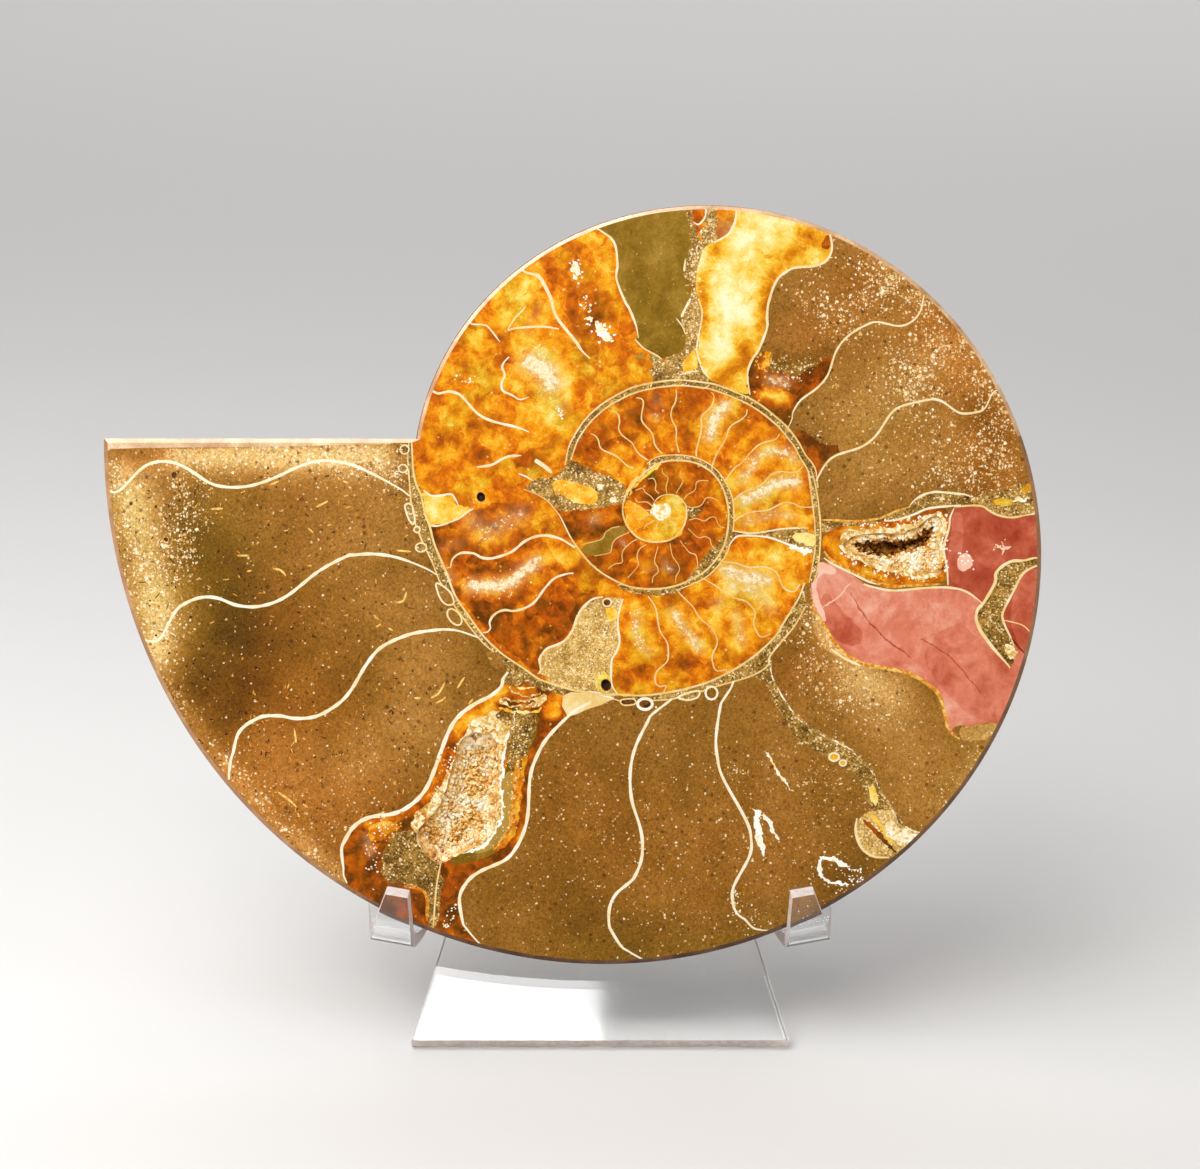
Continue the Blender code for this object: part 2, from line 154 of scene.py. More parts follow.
# %% Camera
VIEW_CENTRE = (-12.2, -15.3)
VIEW_DISTANCE = 0.8
camera_data = bpy.data.cameras.new("camera")
camera_data.lens = 120.0
camera_data.sensor_width = 36.0
camera = bpy.data.objects.new("camera", camera_data)
camera.location = on_face(*VIEW_CENTRE) + FACE_OUT * VIEW_DISTANCE
camera.rotation_euler = (-FACE_OUT).to_track_quat("-Z", "Y").to_euler()
bpy.context.scene.collection.objects.link(camera)
bpy.context.scene.camera = camera
bpy.context.scene.view_settings.view_transform = "Standard"
print("camera at", [round(x, 3) for x in camera.location])


# %% Node helpers
tree = None


def new_material(name):
    """An empty node material. The helpers below add to its tree until another one is begun."""
    global tree
    made = bpy.data.materials.new(name)
    made.use_nodes = True
    tree = made.node_tree
    tree.nodes.clear()
    return made


def feed(socket, value):
    """Links an input to another node's output, or sets it to a plain value."""
    if isinstance(value, bpy.types.NodeSocket):
        tree.links.new(value, socket)
    else:
        socket.default_value = value


def add(kind, **values):
    """Adds a node. A value named for an input goes there, and any other sets a property of the node."""
    node = tree.nodes.new("ShaderNode" + kind)
    for name, value in values.items():
        socket = node.inputs.get(name.replace("_", " "))
        if socket is None:
            setattr(node, name, value)
        else:
            feed(socket, value)
    return node


def mix(factor, first, second, blend="MIX"):
    """A colour mix; each of the three is a socket or a plain value."""
    node = add("Mix", data_type="RGBA", blend_type=blend)
    for index, value in ((0, factor), (6, first), (7, second)):
        feed(node.inputs[index], (*value, 1.0) if isinstance(value, tuple) else value)
    return node.outputs[2]


OPERATIONS = {"+": "ADD", "-": "SUBTRACT", "*": "MULTIPLY", "/": "DIVIDE", "<": "LESS_THAN"}


def math(value, *steps, clamp=False):
    """A sum worked out from left to right, as in math(a, "*", 2.0, "+", b). clamp keeps it within 0 and 1."""
    for operation, other in zip(steps[::2], steps[1::2]):
        node = add("Math", operation=OPERATIONS.get(operation, operation))
        feed(node.inputs[0], value)
        feed(node.inputs[1], other)
        value = node.outputs[0]
    node.use_clamp = clamp
    return value


def srgb(red, green, blue):
    """The linear colour of a shade given as 0 to 255 for each of red, green and blue."""
    return tuple(((x / 255 + 0.055) / 1.055) ** 2.4 if x > 10 else x / 255 / 12.92 for x in (red, green, blue))


def shades(text):
    """The colours in text such as '58,38,10 104,68,14'."""
    return [srgb(*(int(x) for x in word.split(","))) for word in text.split()]


def ramp(factor, stops):
    """A colour ramp. Its stops are text such as '0 58,38,10; 1 234,194,120', or pairs of a place and a colour."""
    if isinstance(stops, str):
        stops = [stop.split() for stop in stops.split(";")]
        stops = [(float(position), shades(colour)[0]) for position, colour in stops]
    node = add("ValToRGB")
    elements = node.color_ramp.elements
    while len(elements) < len(stops):
        elements.new(0.5)
    for element, (position, colour) in zip(elements, stops):
        element.position = position
        element.color = (*colour, 1.0) if isinstance(colour, tuple) else (colour, colour, colour, 1.0)
    feed(node.inputs[0], factor)
    return node.outputs[0]


def clouds(place, scale, detail=2.0, roughness=0.5, distortion=0.0):
    """Soft noise from 0 to 1."""
    values = {"Scale": scale, "Detail": detail, "Roughness": roughness, "Distortion": distortion}
    return add("TexNoise", Vector=place, **values).outputs[0]


def face_space():
    """Texture space in millimetres that lies flat on the polished face."""
    where = add("TexCoord").outputs["Object"]
    turned = add("VectorRotate", Vector=where, rotation_type="X_AXIS", Angle=FACE_LEAN)
    return add("VectorMath", Vector=turned.outputs[0], operation="SCALE", Scale=1 / MM).outputs[0]


print("operations by sign:", OPERATIONS)


# %% Floor and lights
def soft_light(name, location, target, size, power, colour=(1.0, 1.0, 1.0)):
    data = bpy.data.lights.new(name, "AREA")
    data.shape = "RECTANGLE"
    data.size, data.size_y = size
    data.energy = power
    data.color = colour
    lamp = bpy.data.objects.new(name, data)
    lamp.location = location
    lamp.rotation_euler = (Vector(target) - Vector(location)).to_track_quat("-Z", "Y").to_euler()
    bpy.context.scene.collection.objects.link(lamp)
    return lamp


FLOOR_DROP = 0.0003
floor_mesh = bpy.data.meshes.new("floor")
floor_corners = [(-3, -3, -FLOOR_DROP), (3, -3, -FLOOR_DROP), (3, 3, -FLOOR_DROP), (-3, 3, -FLOOR_DROP)]
floor_mesh.from_pydata(floor_corners, [], [(0, 1, 2, 3)])
floor = bpy.data.objects.new("floor", floor_mesh)
bpy.context.scene.collection.objects.link(floor)
floor_finish = new_material("pale_floor")
floor_shader = add("BsdfPrincipled", Base_Color=(0.62, 0.61, 0.6, 1.0), Roughness=0.75)
add("OutputMaterial", Surface=floor_shader.outputs[0])
floor_mesh.materials.append(floor_finish)

middle = on_face(*VIEW_CENTRE)
overhead = middle + Vector((-0.36, -0.06, 0.55))
soft_light("overhead_box", overhead, overhead - Vector((0, 0, 1)), (0.72, 0.6), 5.0)
foot_glow = soft_light("foot_glow", overhead + Vector((0, 0, 0.01)), overhead - Vector((0, 0, 1)), (0.72, 0.6), 9.0)
foot_glow.visible_diffuse = False
soft_light("front_box", middle + Vector((-0.35, -0.75, 0.75)), middle, (0.8, 0.5), 8.3, (1.0, 0.98, 0.95))
soft_light("right_strip", middle + Vector((0.75, -0.42, 0.15)), middle, (0.12, 0.6), 1.6)
soft_light("floor_light", Vector((0.3, 2.0, 1.5)), Vector((0.3, 1.9, 0)), (3.4, 2.2), 44.0)
world = bpy.data.worlds.new("studio")
world.use_nodes = True
world.node_tree.nodes["Background"].inputs["Color"].default_value = (0.9, 0.95, 1.0, 1.0)
world.node_tree.nodes["Background"].inputs["Strength"].default_value = 0.06
bpy.context.scene.world = world

# %% [markdown]
# ## The lines on the polished face
#
# Sawing the coil open shows its chamber walls, the septa, as thin cream lines. Each septum is a crumpled
# sheet, so its cut line swings from the coil's wall out to the rim in an S. No formula gives their
# swings, so each is drawn as a few points, and a smooth curve is passed through them. The coil's own
# wall shows as paired cream lines with a seam of small crystals between them.

# %% Drawing tools
def line(text):
    """Points in millimetres from text, which gives the first one and then the step to each next one, as
    (u, v) in tenths of a millimetre: "10,20 5,0" are the points (1, 2) and (1.5, 2)."""
    steps = [[int(x) for x in pair.split(",")] for pair in text.split()]
    return [(u / 10, v / 10) for u, v in np.cumsum(steps, axis=0).tolist()]


def rows(table):
    """The rows of a table written as text. Each ends with a semicolon and gives its words, its numbers and
    then its points as one list."""
    for row in table.split(";")[:-1]:
        words = [word for word in row.split() if "," not in word]
        points = line(" ".join(word for word in row.split() if "," in word))
        yield *(word if word[0].isalpha() else float(word) for word in words), points


def smooth(points, step=0.6, closed=False):
    """An even chain of points on a smooth curve (Catmull-Rom) through the given ones."""
    knots = np.array(points, float)
    if closed:
        knots = np.vstack([knots[-1:], knots, knots[:2]])
    else:
        knots = np.vstack([2 * knots[0] - knots[1], knots, 2 * knots[-1] - knots[-2]])
    made = []
    for before, start, end, after in zip(knots, knots[1:], knots[2:], knots[3:]):
        count = max(1, int(round(np.linalg.norm(end - start) / step)))
        t = (np.arange(count) / count)[:, None]
        made.append(0.5 * (2 * start + (end - before) * t + (2 * before - 5 * start + 4 * end - after) * t**2
                           + (3 * start - before - 3 * end + after) * t**3))
    if not closed:
        made.append(knots[-2:-1])
    return np.vstack(made)


def ribbon(points, width, ends=(1.0, 1.0), step=0.6):
    """The closed outline of a line of this width. Its two ends narrow to these shares of the width."""
    middle = smooth(points, step)
    along = np.gradient(middle, axis=0)
    along /= np.maximum(np.linalg.norm(along, axis=1), 1e-9)[:, None]
    across = np.column_stack([-along[:, 1], along[:, 0]])
    place = np.linspace(0, 1, len(middle))
    share = np.minimum(1, np.minimum(ends[0] + (1 - ends[0]) * place * 6, ends[1] + (1 - ends[1]) * (1 - place) * 6))
    wobble = 1 + 0.12 * np.sin(middle[:, 0] * 1.9 + middle[:, 1] * 1.3)
    half = (share * wobble * width / 2)[:, None]
    return np.vstack([middle + across * half, (middle - across * half)[::-1]])


print("a test ribbon has", len(ribbon([(0, 0), (10, 3), (20, 0)], 1.0)), "points")

# %% Septa of the outer whorl
SEPTA, SEPTUM_WIDTHS = {}, {}
for name, width, points in rows("""
s1 .6 -1112,40 8,-6 21,1 43,43 30,14 34,-1 30,-13 44,-28 34,-8 38,1 35,9 39,16 20,10 40,14 39,2 51,-12 78,-40 25,-18;
s2 .64 -1037,-260 7,-5 18,-2 14,11 26,48 22,18 30,11 32,-1 42,-15 46,-1 50,19 66,51 54,29 15,3 40,2 47,-7 54,-20
  26,-15;
s3 .68 -864,-543 0,13 4,28 4,12 9,36 17,20 25,14 15,4 30,0 30,-5 42,5 42,24 26,28 30,50 25,31 30,18 39,14 46,7 26,1
  24,-4 34,-12;
s4 .78 -306,-328 -10,-14 -3,-14 -21,-19 -34,-18 -30,-23 -22,-34 -32,-86 -18,-34 -26,-25 -32,-16 -50,-8 -30,-18 -20,-31
  -5,-18 4,-36 0,-12 7,-16;
s5 .68 -140,-388 -30,-16 -15,-12 -41,-42 -23,-40 -13,-42 -4,-70 -8,-36 -15,-32 -23,-26 -50,-23 -26,-21 -15,-32 6,-46
  7,-14 22,-26 12,-11;
s6 .62 22,-382 -40,-31 -8,-13 -22,-44 -10,-33 -4,-37 4,-46 16,-52 5,-34 -3,-34 -12,-30 -10,-12 -28,-24 -13,-28 -1,-32
  5,-14 19,-30 14,-10 30,-17 16,-4;
s7 .58 145,-346 -5,-14 -16,-24 -6,-16 -8,-60 3,-40 11,-40 46,-84 10,-36 -3,-36 -32,-62 -1,-32 4,-14 8,-11 12,-8 19,-18
  36,-5;
s8 .4 218,-300 6,-42 36,-62 34,-32 26,-16 40,-20 36,-26 28,-32 16,-38 14,-20 12,-22 14,-18 20,-16 24,-6;
s10 .45 405,-152 19,-6 42,-7 60,5 48,1 36,-8 33,-23;
s12 .46 310,54 18,32 22,19 50,17 30,23 26,39 14,14 18,8 44,10 18,1 16,-6 32,-21 34,2 16,8 14,28 8,7 12,0;
s13 .4 530,430 -4,-5 -8,-33 -18,-20 -25,-8 -42,8 -25,-7 -35,-22 -23,-30 -16,-46 -22,-27 -32,-24 -16,-24 -2,-14 -8,-18;
s14 .5 338,548 4,-23 -2,-15 -8,-14 -12,-8 -20,-5 -30,-2 -20,-9 -20,-19 -15,-43 -3,-30 0,-20 -16,-42 -13,-20 -8,-18
  -2,-20 5,-34;
s16 .46 -128,560 33,-27 8,-43 -2,-32 17,-45 8,-13 14,-35 5,-25;
s17 .66 -277,476 7,-5 20,-5 9,-7 19,-36 8,-29 10,-19 34,-43 12,-18 16,-15;
s18 .32 -382,374 3,-6 26,-2 11,-8 20,-26;
s18_bar .44 -306,354 11,5 55,4 36,-5;
s18_strand .26 -307,356 15,24 14,14 8,11;
s18_loop .42 -304,302 -9,-9 -5,-11 4,-10 1,-9 -5,-10 -1,-13 6,-8 13,-5 14,-9 6,-1 16,5;
s19 .52 -464,234 9,-1 10,-4 20,4 15,-3 12,-7 30,-33 30,-16 52,-13 22,-9;
s19_bar .5 -368,82 28,4 26,14 14,4 21,1;
s19_white .9 -252,96 18,-12 16,-14;
s19_thin .3 -285,69 15,-6 15,-9;
s20 .52 -172,-79 -31,18 -35,6 -32,-10 -28,-22 -32,-12 -18,-2 -14,3 -12,7 -26,1 -17,-12 -4,-16 -8,-2;
s21 .46 -175,-131 -10,0 -27,-9 -20,-20 -18,-25 -14,-11 -16,-7 -16,-3 -16,2 -14,-4 -12,-10 -5,-12 2,-10 -6,-8 -9,-1;
s22 .48 -116,-178 -14,-2 -14,-7 -20,-23 -12,-32 -10,-16 -14,-12 -26,-10 -10,-10 -7,-12 2,-22 -6,-8;
"""):
    SEPTA[name], SEPTUM_WIDTHS[name] = points, width
print("septa of the outer whorl:", len(SEPTA))

# %% Septa of the two inner whorls
RING_SEPTA = [points for (points,) in rows("""
-140,149 9,-5 6,-9 2,-10 7,-9 26,-12 22,-19 13,-5; -102,193 12,-1 6,-10 1,-12 -2,-10 6,-13 21,-17 6,-11 9,-12 16,-11;
-50,220 10,-1 5,-9 -4,-24 2,-14 17,-20 5,-12 3,-14 14,-18; 30,236 1,-12 -3,-14 -6,-11 -2,-13 3,-12 6,-11 2,-13 -1,-14
6,-25; 100,232 6,-8 -2,-14 -6,-10 -17,-18 0,-24 -10,-42 0,-13; 172,198 -1,-10 -9,-10 -24,-16 -9,-25 -16,-26 -10,-25
-1,-7; 237,148 -9,-11 -33,-11 -34,-36 -14,-10 -18,-25; 283,82 -11,-9 -14,-2 -16,2 -14,-2 -12,-8 -10,-12 -12,-8 -31,-13
-18,-15; 306,2 -26,0 -12,6 -14,3 -14,-2 -26,-13 -34,-4 -26,-12 -6,-7; 112,-103 18,-5 20,-2 16,-6 16,-3 18,2 16,-3
12,-6 7,-10 11,-24 20,-7 12,15; 80,-139 30,-17 26,-20 30,-9 11,-8 9,-11 2,-12 -3,-14 9,-22 8,-6 17,6; 33,-165 8,-10
23,-23 8,-14 10,-12 22,-20 9,-24 -9,-22 -2,-12 6,-21 10,-3 12,3 3,-6; -26,-176 15,-24 8,-43 13,-22 4,-13 -1,-27
-18,-18 -6,-10 -1,-12 4,-9 8,-3 10,2 -4,-13;
""")]
INNER_SEPTA = [points for (points,) in rows("""
-26,58 11,1 5,-11 -1,-12 7,-7; -51,35 14,5 5,-8 12,-9 6,-8; -52,20 6,-8 17,0 12,-8; -58,6 7,-11 16,1 17,-1; -51,-21
12,-2 10,8 12,2; -34,-42 4,8 8,4 9,6; -12,-46 2,8 3,7 2,5; 12,-46 -2,8 -2,6 -2,5; 29,-36 -6,7 -5,4 -3,4; 2,80 2,-11
10,-9 -4,-18 2,-13; 40,75 -2,-11 6,-10 -14,-25; 95,54 -14,1 -10,-4 -3,-15 -16,-10 -6,-9; 115,14 -12,6 -13,0 -9,-14
-16,-5 -13,2; 128,-40 -13,6 -6,15 -11,0 -11,-7 -16,5 -15,-3; 112,-85 -11,11 -3,12 -11,5 -13,-2 -20,18; 74,-121 -4,26
-14,7 -18,23; 30,-151 0,14 7,12 -3,13 -11,16 -5,25; -18,-150 3,13 9,8 -1,11 -6,12 7,29; -67,-140 14,15 8,13 -3,16 6,15
13,8; -106,-121 14,9 14,3 0,16 5,12 16,14 9,4; -134,-96 17,3 16,5 4,17 11,12 22,10; -159,-73 39,10 9,14 13,9 15,3;
""")]
print("septa of the inner whorls:", len(RING_SEPTA), "and", len(INNER_SEPTA))

# %% The coil's wall
WALL_LEFT_OUT = line("""
-503,146 -3,-36 0,-20 3,-40 3,-40 3,-20 5,-20 16,-40 19,-40 15,-38 19,-32 27,-40 28,-36 16,-18 18,-14
""")
WALL_LEFT_IN = line("""
-499,140 3,-60 3,-20 5,-17 8,-18 9,-40 7,-17 10,-38 8,-20 17,-40 13,-36 12,-22 13,-19 31,-43 14,-16 28,-26
""")
WALL_LOW_IN = line("""
-318,-292 42,-28 32,-22 34,-12 35,-10 55,-9 34,0 46,-2 40,4 40,7 30,8 30,10 46,23 24,15 24,18 22,20 16,18 13,22 25,40
10,20 7,20
""")
WALL_LOW_OUT = line("-95,-382 35,-10 25,6 57,4 62,16 30,10 66,20 34,21 4,19 46,56 16,26 10,19")
WALL_RIGHT = line("306,-150 8,34 4,36 1,40 -3,40 -6,40 -10,40")
WALL_TOP_OUT = line("""
314,40 -6,40 -19,26 -13,24 -14,20 -16,18 -33,28 -18,13 -19,11 -36,16 -20,7 -20,6 -60,7 -40,-3 -20,-3 -20,-4 -20,-6
-15,-7 -29,-16 -24,-17 -21,-20 -15,-20 -12,-20 -9,-20 -7,-34
""")
WALL_TOP_IN = line("""
302,34 -8,40 -16,27 -12,23 -28,35 -16,15 -16,13 -17,12 -19,11 -34,15 -19,7 -19,6 -19,3 -39,4 -40,-3 -18,-3 -19,-4
-19,-6 -14,-6 -28,-15 -22,-16 -20,-19 -15,-19 -11,-18 -8,-20 -6,-20
""")
SECOND_LOOP = line("""
-275,38 35,-15 14,-10 14,-16 12,-17 20,-40 24,-34 18,-20 20,-16 20,-12 18,-9 20,-7 20,-3 20,-1 20,1 20,3 20,6 14,6
16,8 16,10 14,13 12,15 10,16 7,18 4,20 2,20 0,20 -3,20 -6,20 -9,18 -12,16 -15,12 -18,9 -20,5 -20,1 -20,-1 -20,-6
-18,-12 -18,-16 -14,-16 -12,-18 -6,-20 0,-18 6,-18 10,-16 14,-13 18,-7 18,-2 20,2 18,8 12,13 8,15 3,18 -1,16 -8,12
-10,7 -12,4 -14,-1 -12,-6 -8,-10 -4,-12 3,-13 7,-7
""")
LOOP_OUT = line("""
30,-164 16,5 34,15 18,12 14,14 14,18 10,20 8,36 2,24 -1,25 -4,21 -9,20 -12,20 -18,18 -22,13 -20,6 -20,3 -20,0 -20,-2
-16,-6 -12,-10
""")
print("wall points:", len(WALL_LEFT_OUT + WALL_LEFT_IN + WALL_LOW_IN + WALL_TOP_OUT + SECOND_LOOP))

# %% [markdown]
# ## Painting the face in layers
#
# The fillings of the chambers are patches with sharp borders: amber calcite, pale calcite, drusy crystals, red
# jasper, sandstone. Each is drawn as a closed outline and painted over what came before, as with cut
# paper. Later one flat mesh is made from all the outlines together, and each of its triangles takes
# the finish of the topmost patch. A painted texture could do this too, but it would blur when seen close,
# and the mesh keeps every border crisp.

# %% Layer list
FINISHES = ("sediment", "amber", "pale_calcite", "olive_calcite", "druse", "jasper", "septum", "gold_line",
            "white_crystal", "dark_grain", "bevel", "pit_wall")
UNEVEN = {"amber": 0.5, "druse": 0.5, "white_crystal": 0.55, "pale_calcite": 0.4, "olive_calcite": 0.3, "jasper": 0.25,
          "sediment": 0.3}
LAYERS = []
noise.seed_set(5)  # else the noise shifts from one run to the next


def uneven(points, reach):
    """A patch's outline with its corners rounded and its edge nibbled as crystals grow. A place is always
    pushed the same way, so two patches that share a border still meet."""
    chain = np.asarray(points, float)
    for _ in range(2):
        ahead = np.roll(chain, -1, axis=0)
        chain = np.stack([chain * 0.75 + ahead * 0.25, chain * 0.25 + ahead * 0.75], axis=1).reshape(-1, 2)
    made = []
    for start, end in zip(chain, np.roll(chain, -1, axis=0)):
        count = max(1, int(np.linalg.norm(end - start) / 0.4))
        made += [start + (end - start) * i / count for i in range(count)]
    pushed = []
    for u, v in made:
        push = noise.noise_vector(Vector((u * 0.5, v * 0.5, 0.0)))
        push += noise.noise_vector(Vector((u * 1.7, v * 1.7, 7.0))) * 0.8
        pushed.append((u + push.x * reach, v + push.y * reach))
    return np.array(pushed)


def paint(finish, fill, *chains):
    """Paints a closed patch. fill runs from 0, the deepest shade of the finish, to 1, its lightest."""
    points = np.vstack([np.array(line(chain) if isinstance(chain, str) else chain, float) for chain in chains])
    if finish in UNEVEN and len(points) > 3 and np.ptp(points, axis=0).max() > 1.2:
        points = uneven(points, UNEVEN[finish])
    LAYERS.append((FINISHES.index(finish), fill, points))


def stroke(finish, fill, points, width, ends=(0.5, 0.4), step=0.6):
    paint(finish, fill, ribbon(points, width, ends, step))


def loop_line(finish, fill, points, width, inside=None, inside_fill=0.5):
    """A closed line around a small cell, with another finish inside it if one is named."""
    middle = smooth(points, 0.5, closed=True)
    if inside:
        paint(inside, inside_fill, middle)
    along = np.roll(middle, -1, axis=0) - np.roll(middle, 1, axis=0)
    along /= np.linalg.norm(along, axis=1)[:, None]
    across = np.column_stack([-along[:, 1], along[:, 0]]) * width / 2
    outer, inner = middle - across, middle + across
    paint(finish, fill, outer, outer[:1], inner[:1], inner[::-1])


def draw(table):
    """Draws the rows of a table. A patch has a finish and a fill, then its points. A line has a width too and
    perhaps its two ends, and a ring has its line's width and what is inside it. An oval is a patch and a round
    one is a ring, both with numbers in place of points: middle, width, height and turn."""
    for kind, finish, fill, *more, points in rows(table):
        if kind == "patch":
            paint(finish, fill, points)
        elif kind == "oval":
            paint(finish, fill, oval(*more))
        elif kind == "line":
            stroke(finish, fill, points, more[0], tuple(more[1:]) or (0.5, 0.4))
        else:
            loop_line(finish, fill, points or oval(*more[3:]), *more[:3])


def oval(u, v, wide, high, turn=0.0, corners=12):
    angles = np.linspace(0, 2 * pi, int(corners), endpoint=False)
    x, y = wide / 2 * np.cos(angles), high / 2 * np.sin(angles)
    return [(u + a * cos(turn) - b * sin(turn), v + a * sin(turn) + b * cos(turn)) for a, b in zip(x, y)]


def crumbs(finish, fill, path, spread, count, size, seed):
    """Small uneven grains strewn along a drawn line, most of them near it."""
    luck = random.Random(seed)
    places = smooth(path, 0.3)
    for _ in range(count):
        u, v = places[luck.randrange(len(places))]
        u, v = u + luck.gauss(0, spread), v + luck.gauss(0, spread)
        big = size * luck.uniform(0.45, 1.0) / 2
        corners = luck.randrange(5, 8)
        grain = [(big * luck.uniform(0.5, 1.2), 2 * pi * (i + luck.uniform(0, 0.6)) / corners) for i in range(corners)]
        paint(finish, fill + luck.uniform(-0.15, 0.15), [(u + r * cos(a), v + r * sin(a)) for r, a in grain])


BEYOND_SHARE = 1.06


def beyond(first, last, count=12):
    """Points just outside the rim between two directions in degrees."""
    made = []
    for angle in np.linspace(first, last, count):
        turned = angle + 360.0 if angle < CORNER else angle
        made.append(polar(angle, coil_radius(turned) * BEYOND_SHARE))
    return made


S = {name: smooth(points) for name, points in SEPTA.items()}
print("finishes:", len(FINISHES))

# %% The fillings inside the coil's wall
seam_left = line("""
57,620 0,-41 8,-41 -10,-31 -6,-11 -3,-23 3,-10 8,-14 2,-17 0,-13 -19,-37 3,-19 6,-16 -1,-25 -8,-11 -38,-14
""")
seam_right = line("106,531 -22,-11 -3,-8 -11,-49 1,-22 3,-22 7,-19 1,-18 -10,-57 1,-16 5,-18 6,-16 6,-9 8,-6")
cream_arc = line("150,602 0,-17 -3,-15 -7,-14 -8,-11 -26,-14")

paint(
    "amber", 0.46, WALL_LEFT_IN, WALL_LOW_IN, WALL_RIGHT, [(30.8, 8)], WALL_TOP_OUT[2:15], seam_left[::-1],
    beyond(84, 165, 30), [(-51, 15)]
)
paint("olive_calcite", 0.5, [(-14.5, 62)], S["s16"], "-52,338 17,-18 27,-15 10,-8", seam_left[-2::-1])
draw("""
patch olive_calcite .75 -52,298 16,16 2,-15;
""")
paint("druse", 0.5, seam_left, "10,265 25,-13 65,0", seam_right[::-1], "120,538 0,62 0,20")
draw("""
patch amber .3 63,600 22,20 4,-20 0,-15 -7,-12 -8,-6 -11,5;
patch amber .5 62,579 14,-34 6,-23 -2,26 11,28 -9,-3 -8,-6;
patch amber .45 110,544 10,-6 12,7 8,11 7,14 3,15 0,35 -40,0;
patch amber .75 44,270 32,4 -2,46 -20,-8 -10,-22;
""")
paint(
    "pale_calcite", 0.5, seam_right[::-1], cream_arc[::-1], "160,640 140,-20 70,-40", S["s14"], "140,236 -20,7 -22,17"
)
draw("""
patch druse .4 -28,308 20,-3 10,-8 16,-21 -4,-22 -28,2 -12,16 8,18;
line septum .7 .35 89,610 0,-25 -7,-12 -8,-6 -10,5;
""")
stroke("septum", 0.7, cream_arc, 0.45)
stroke("septum", 0.6, seam_right[5:], 0.35)
draw("""
line septum .7 .5 59,419 -19,-37;
line septum .6 .3 30,380 13,-17 6,-16;
line septum .6 .35 35,266 21,6 20,2;
line septum .6 .3 -52,338 17,-18 27,-15 10,-8;
line septum .6 .4 49,498 -3,-25;
patch amber .27 -496,-50 56,18 60,28 60,16 40,-22 40,-40 34,-60 36,-50 40,-20 10,-60 -26,-60 -34,-60 -70,34 -70,50
  -76,82 -58,88;
patch amber .82 -472,-30 5,-4 17,-2 17,4 30,12 13,10 15,9 -10,5 -20,1 -5,10 -10,13 -20,-3 -20,0 -15,11 -11,-16;
line septum .6 .4 -467,-34 17,-2 17,4 30,12 13,10 15,9;
line septum .8 .4 -475,36 15,-11 20,0 20,3 10,-13 5,-10;
""")
inner_ring = SECOND_LOOP[11:52]
paint("amber", 0.32, inner_ring, "-90,60 -50,30 -52,-4 -68,-56", SECOND_LOOP[1:11])
draw("""
patch druse .45 -255,54 35,8 15,6 11,14 14,14 16,-6 14,-10 50,-20 26,-8 4,-20 -6,-26 -74,-10 -35,0 -21,-2 -12,14
  -22,15 -35,15;
patch amber .66 -215,60 29,-4 40,-12 22,-10 -1,-30 -30,2 -31,14 -29,10;
patch amber .2 -185,-4 35,0 74,10 0,-18 6,-18 -12,-10 -18,-2 -15,-8 -11,-13 -54,-2 -10,25 -10,20;
patch olive_calcite .6 -83,-37 -15,-3 -13,-9 -9,-14 -39,-10 3,-17 22,-6 17,3 16,5 4,17 11,12 22,10 -6,13;
oval white_crystal .7 -12 4.6 1.6 1.1 .5;
oval white_crystal .7 -9.6 1.4 1.3 1.5;
""")
paint("amber", 0.66, SECOND_LOOP[40:67])
draw("""
patch olive_calcite .25 -34,69 22,9 0,-16 -8,-4 -16,1;
patch druse .3 52,2 22,0 4,-10 -10,-12 -14,-2;
patch amber .85 -72,30 6,-8 10,14 14,16 18,16 28,21 -14,3 -20,-10 -18,-16 -16,-18;
oval white_crystal .6 .2 -.8 3.8 3.6;
""")
paint(
    "druse", 0.8, S["s22"][8:],
    "-220,-348 40,-14 60,-11 25,-7 9,7 -7,9 -6,14 -1,20 2,28 8,12 6,16 1,14 -3,20 0,20 4,20 6,18 -14,6 -26,-2"
)
draw("""
line septum .7 .4 -76,-182 -6,-18 -4,-20 0,-20 3,-20 -1,-14 -6,-16 -8,-12 -2,-28 1,-20 6,-14 7,-9;
line septum .9 .6 -150,-368 30,-5 25,-9;
patch amber .85 -130,-330 16,4 15,-8 -1,-28 -14,-6 -16,8;
patch amber .8 -112,-200 22,4 3,-30 -17,-6;
round septum .6 .3 dark_grain .8 -10.8 -18.9 1.7 1.6;
""")
print("layers so far:", len(LAYERS))

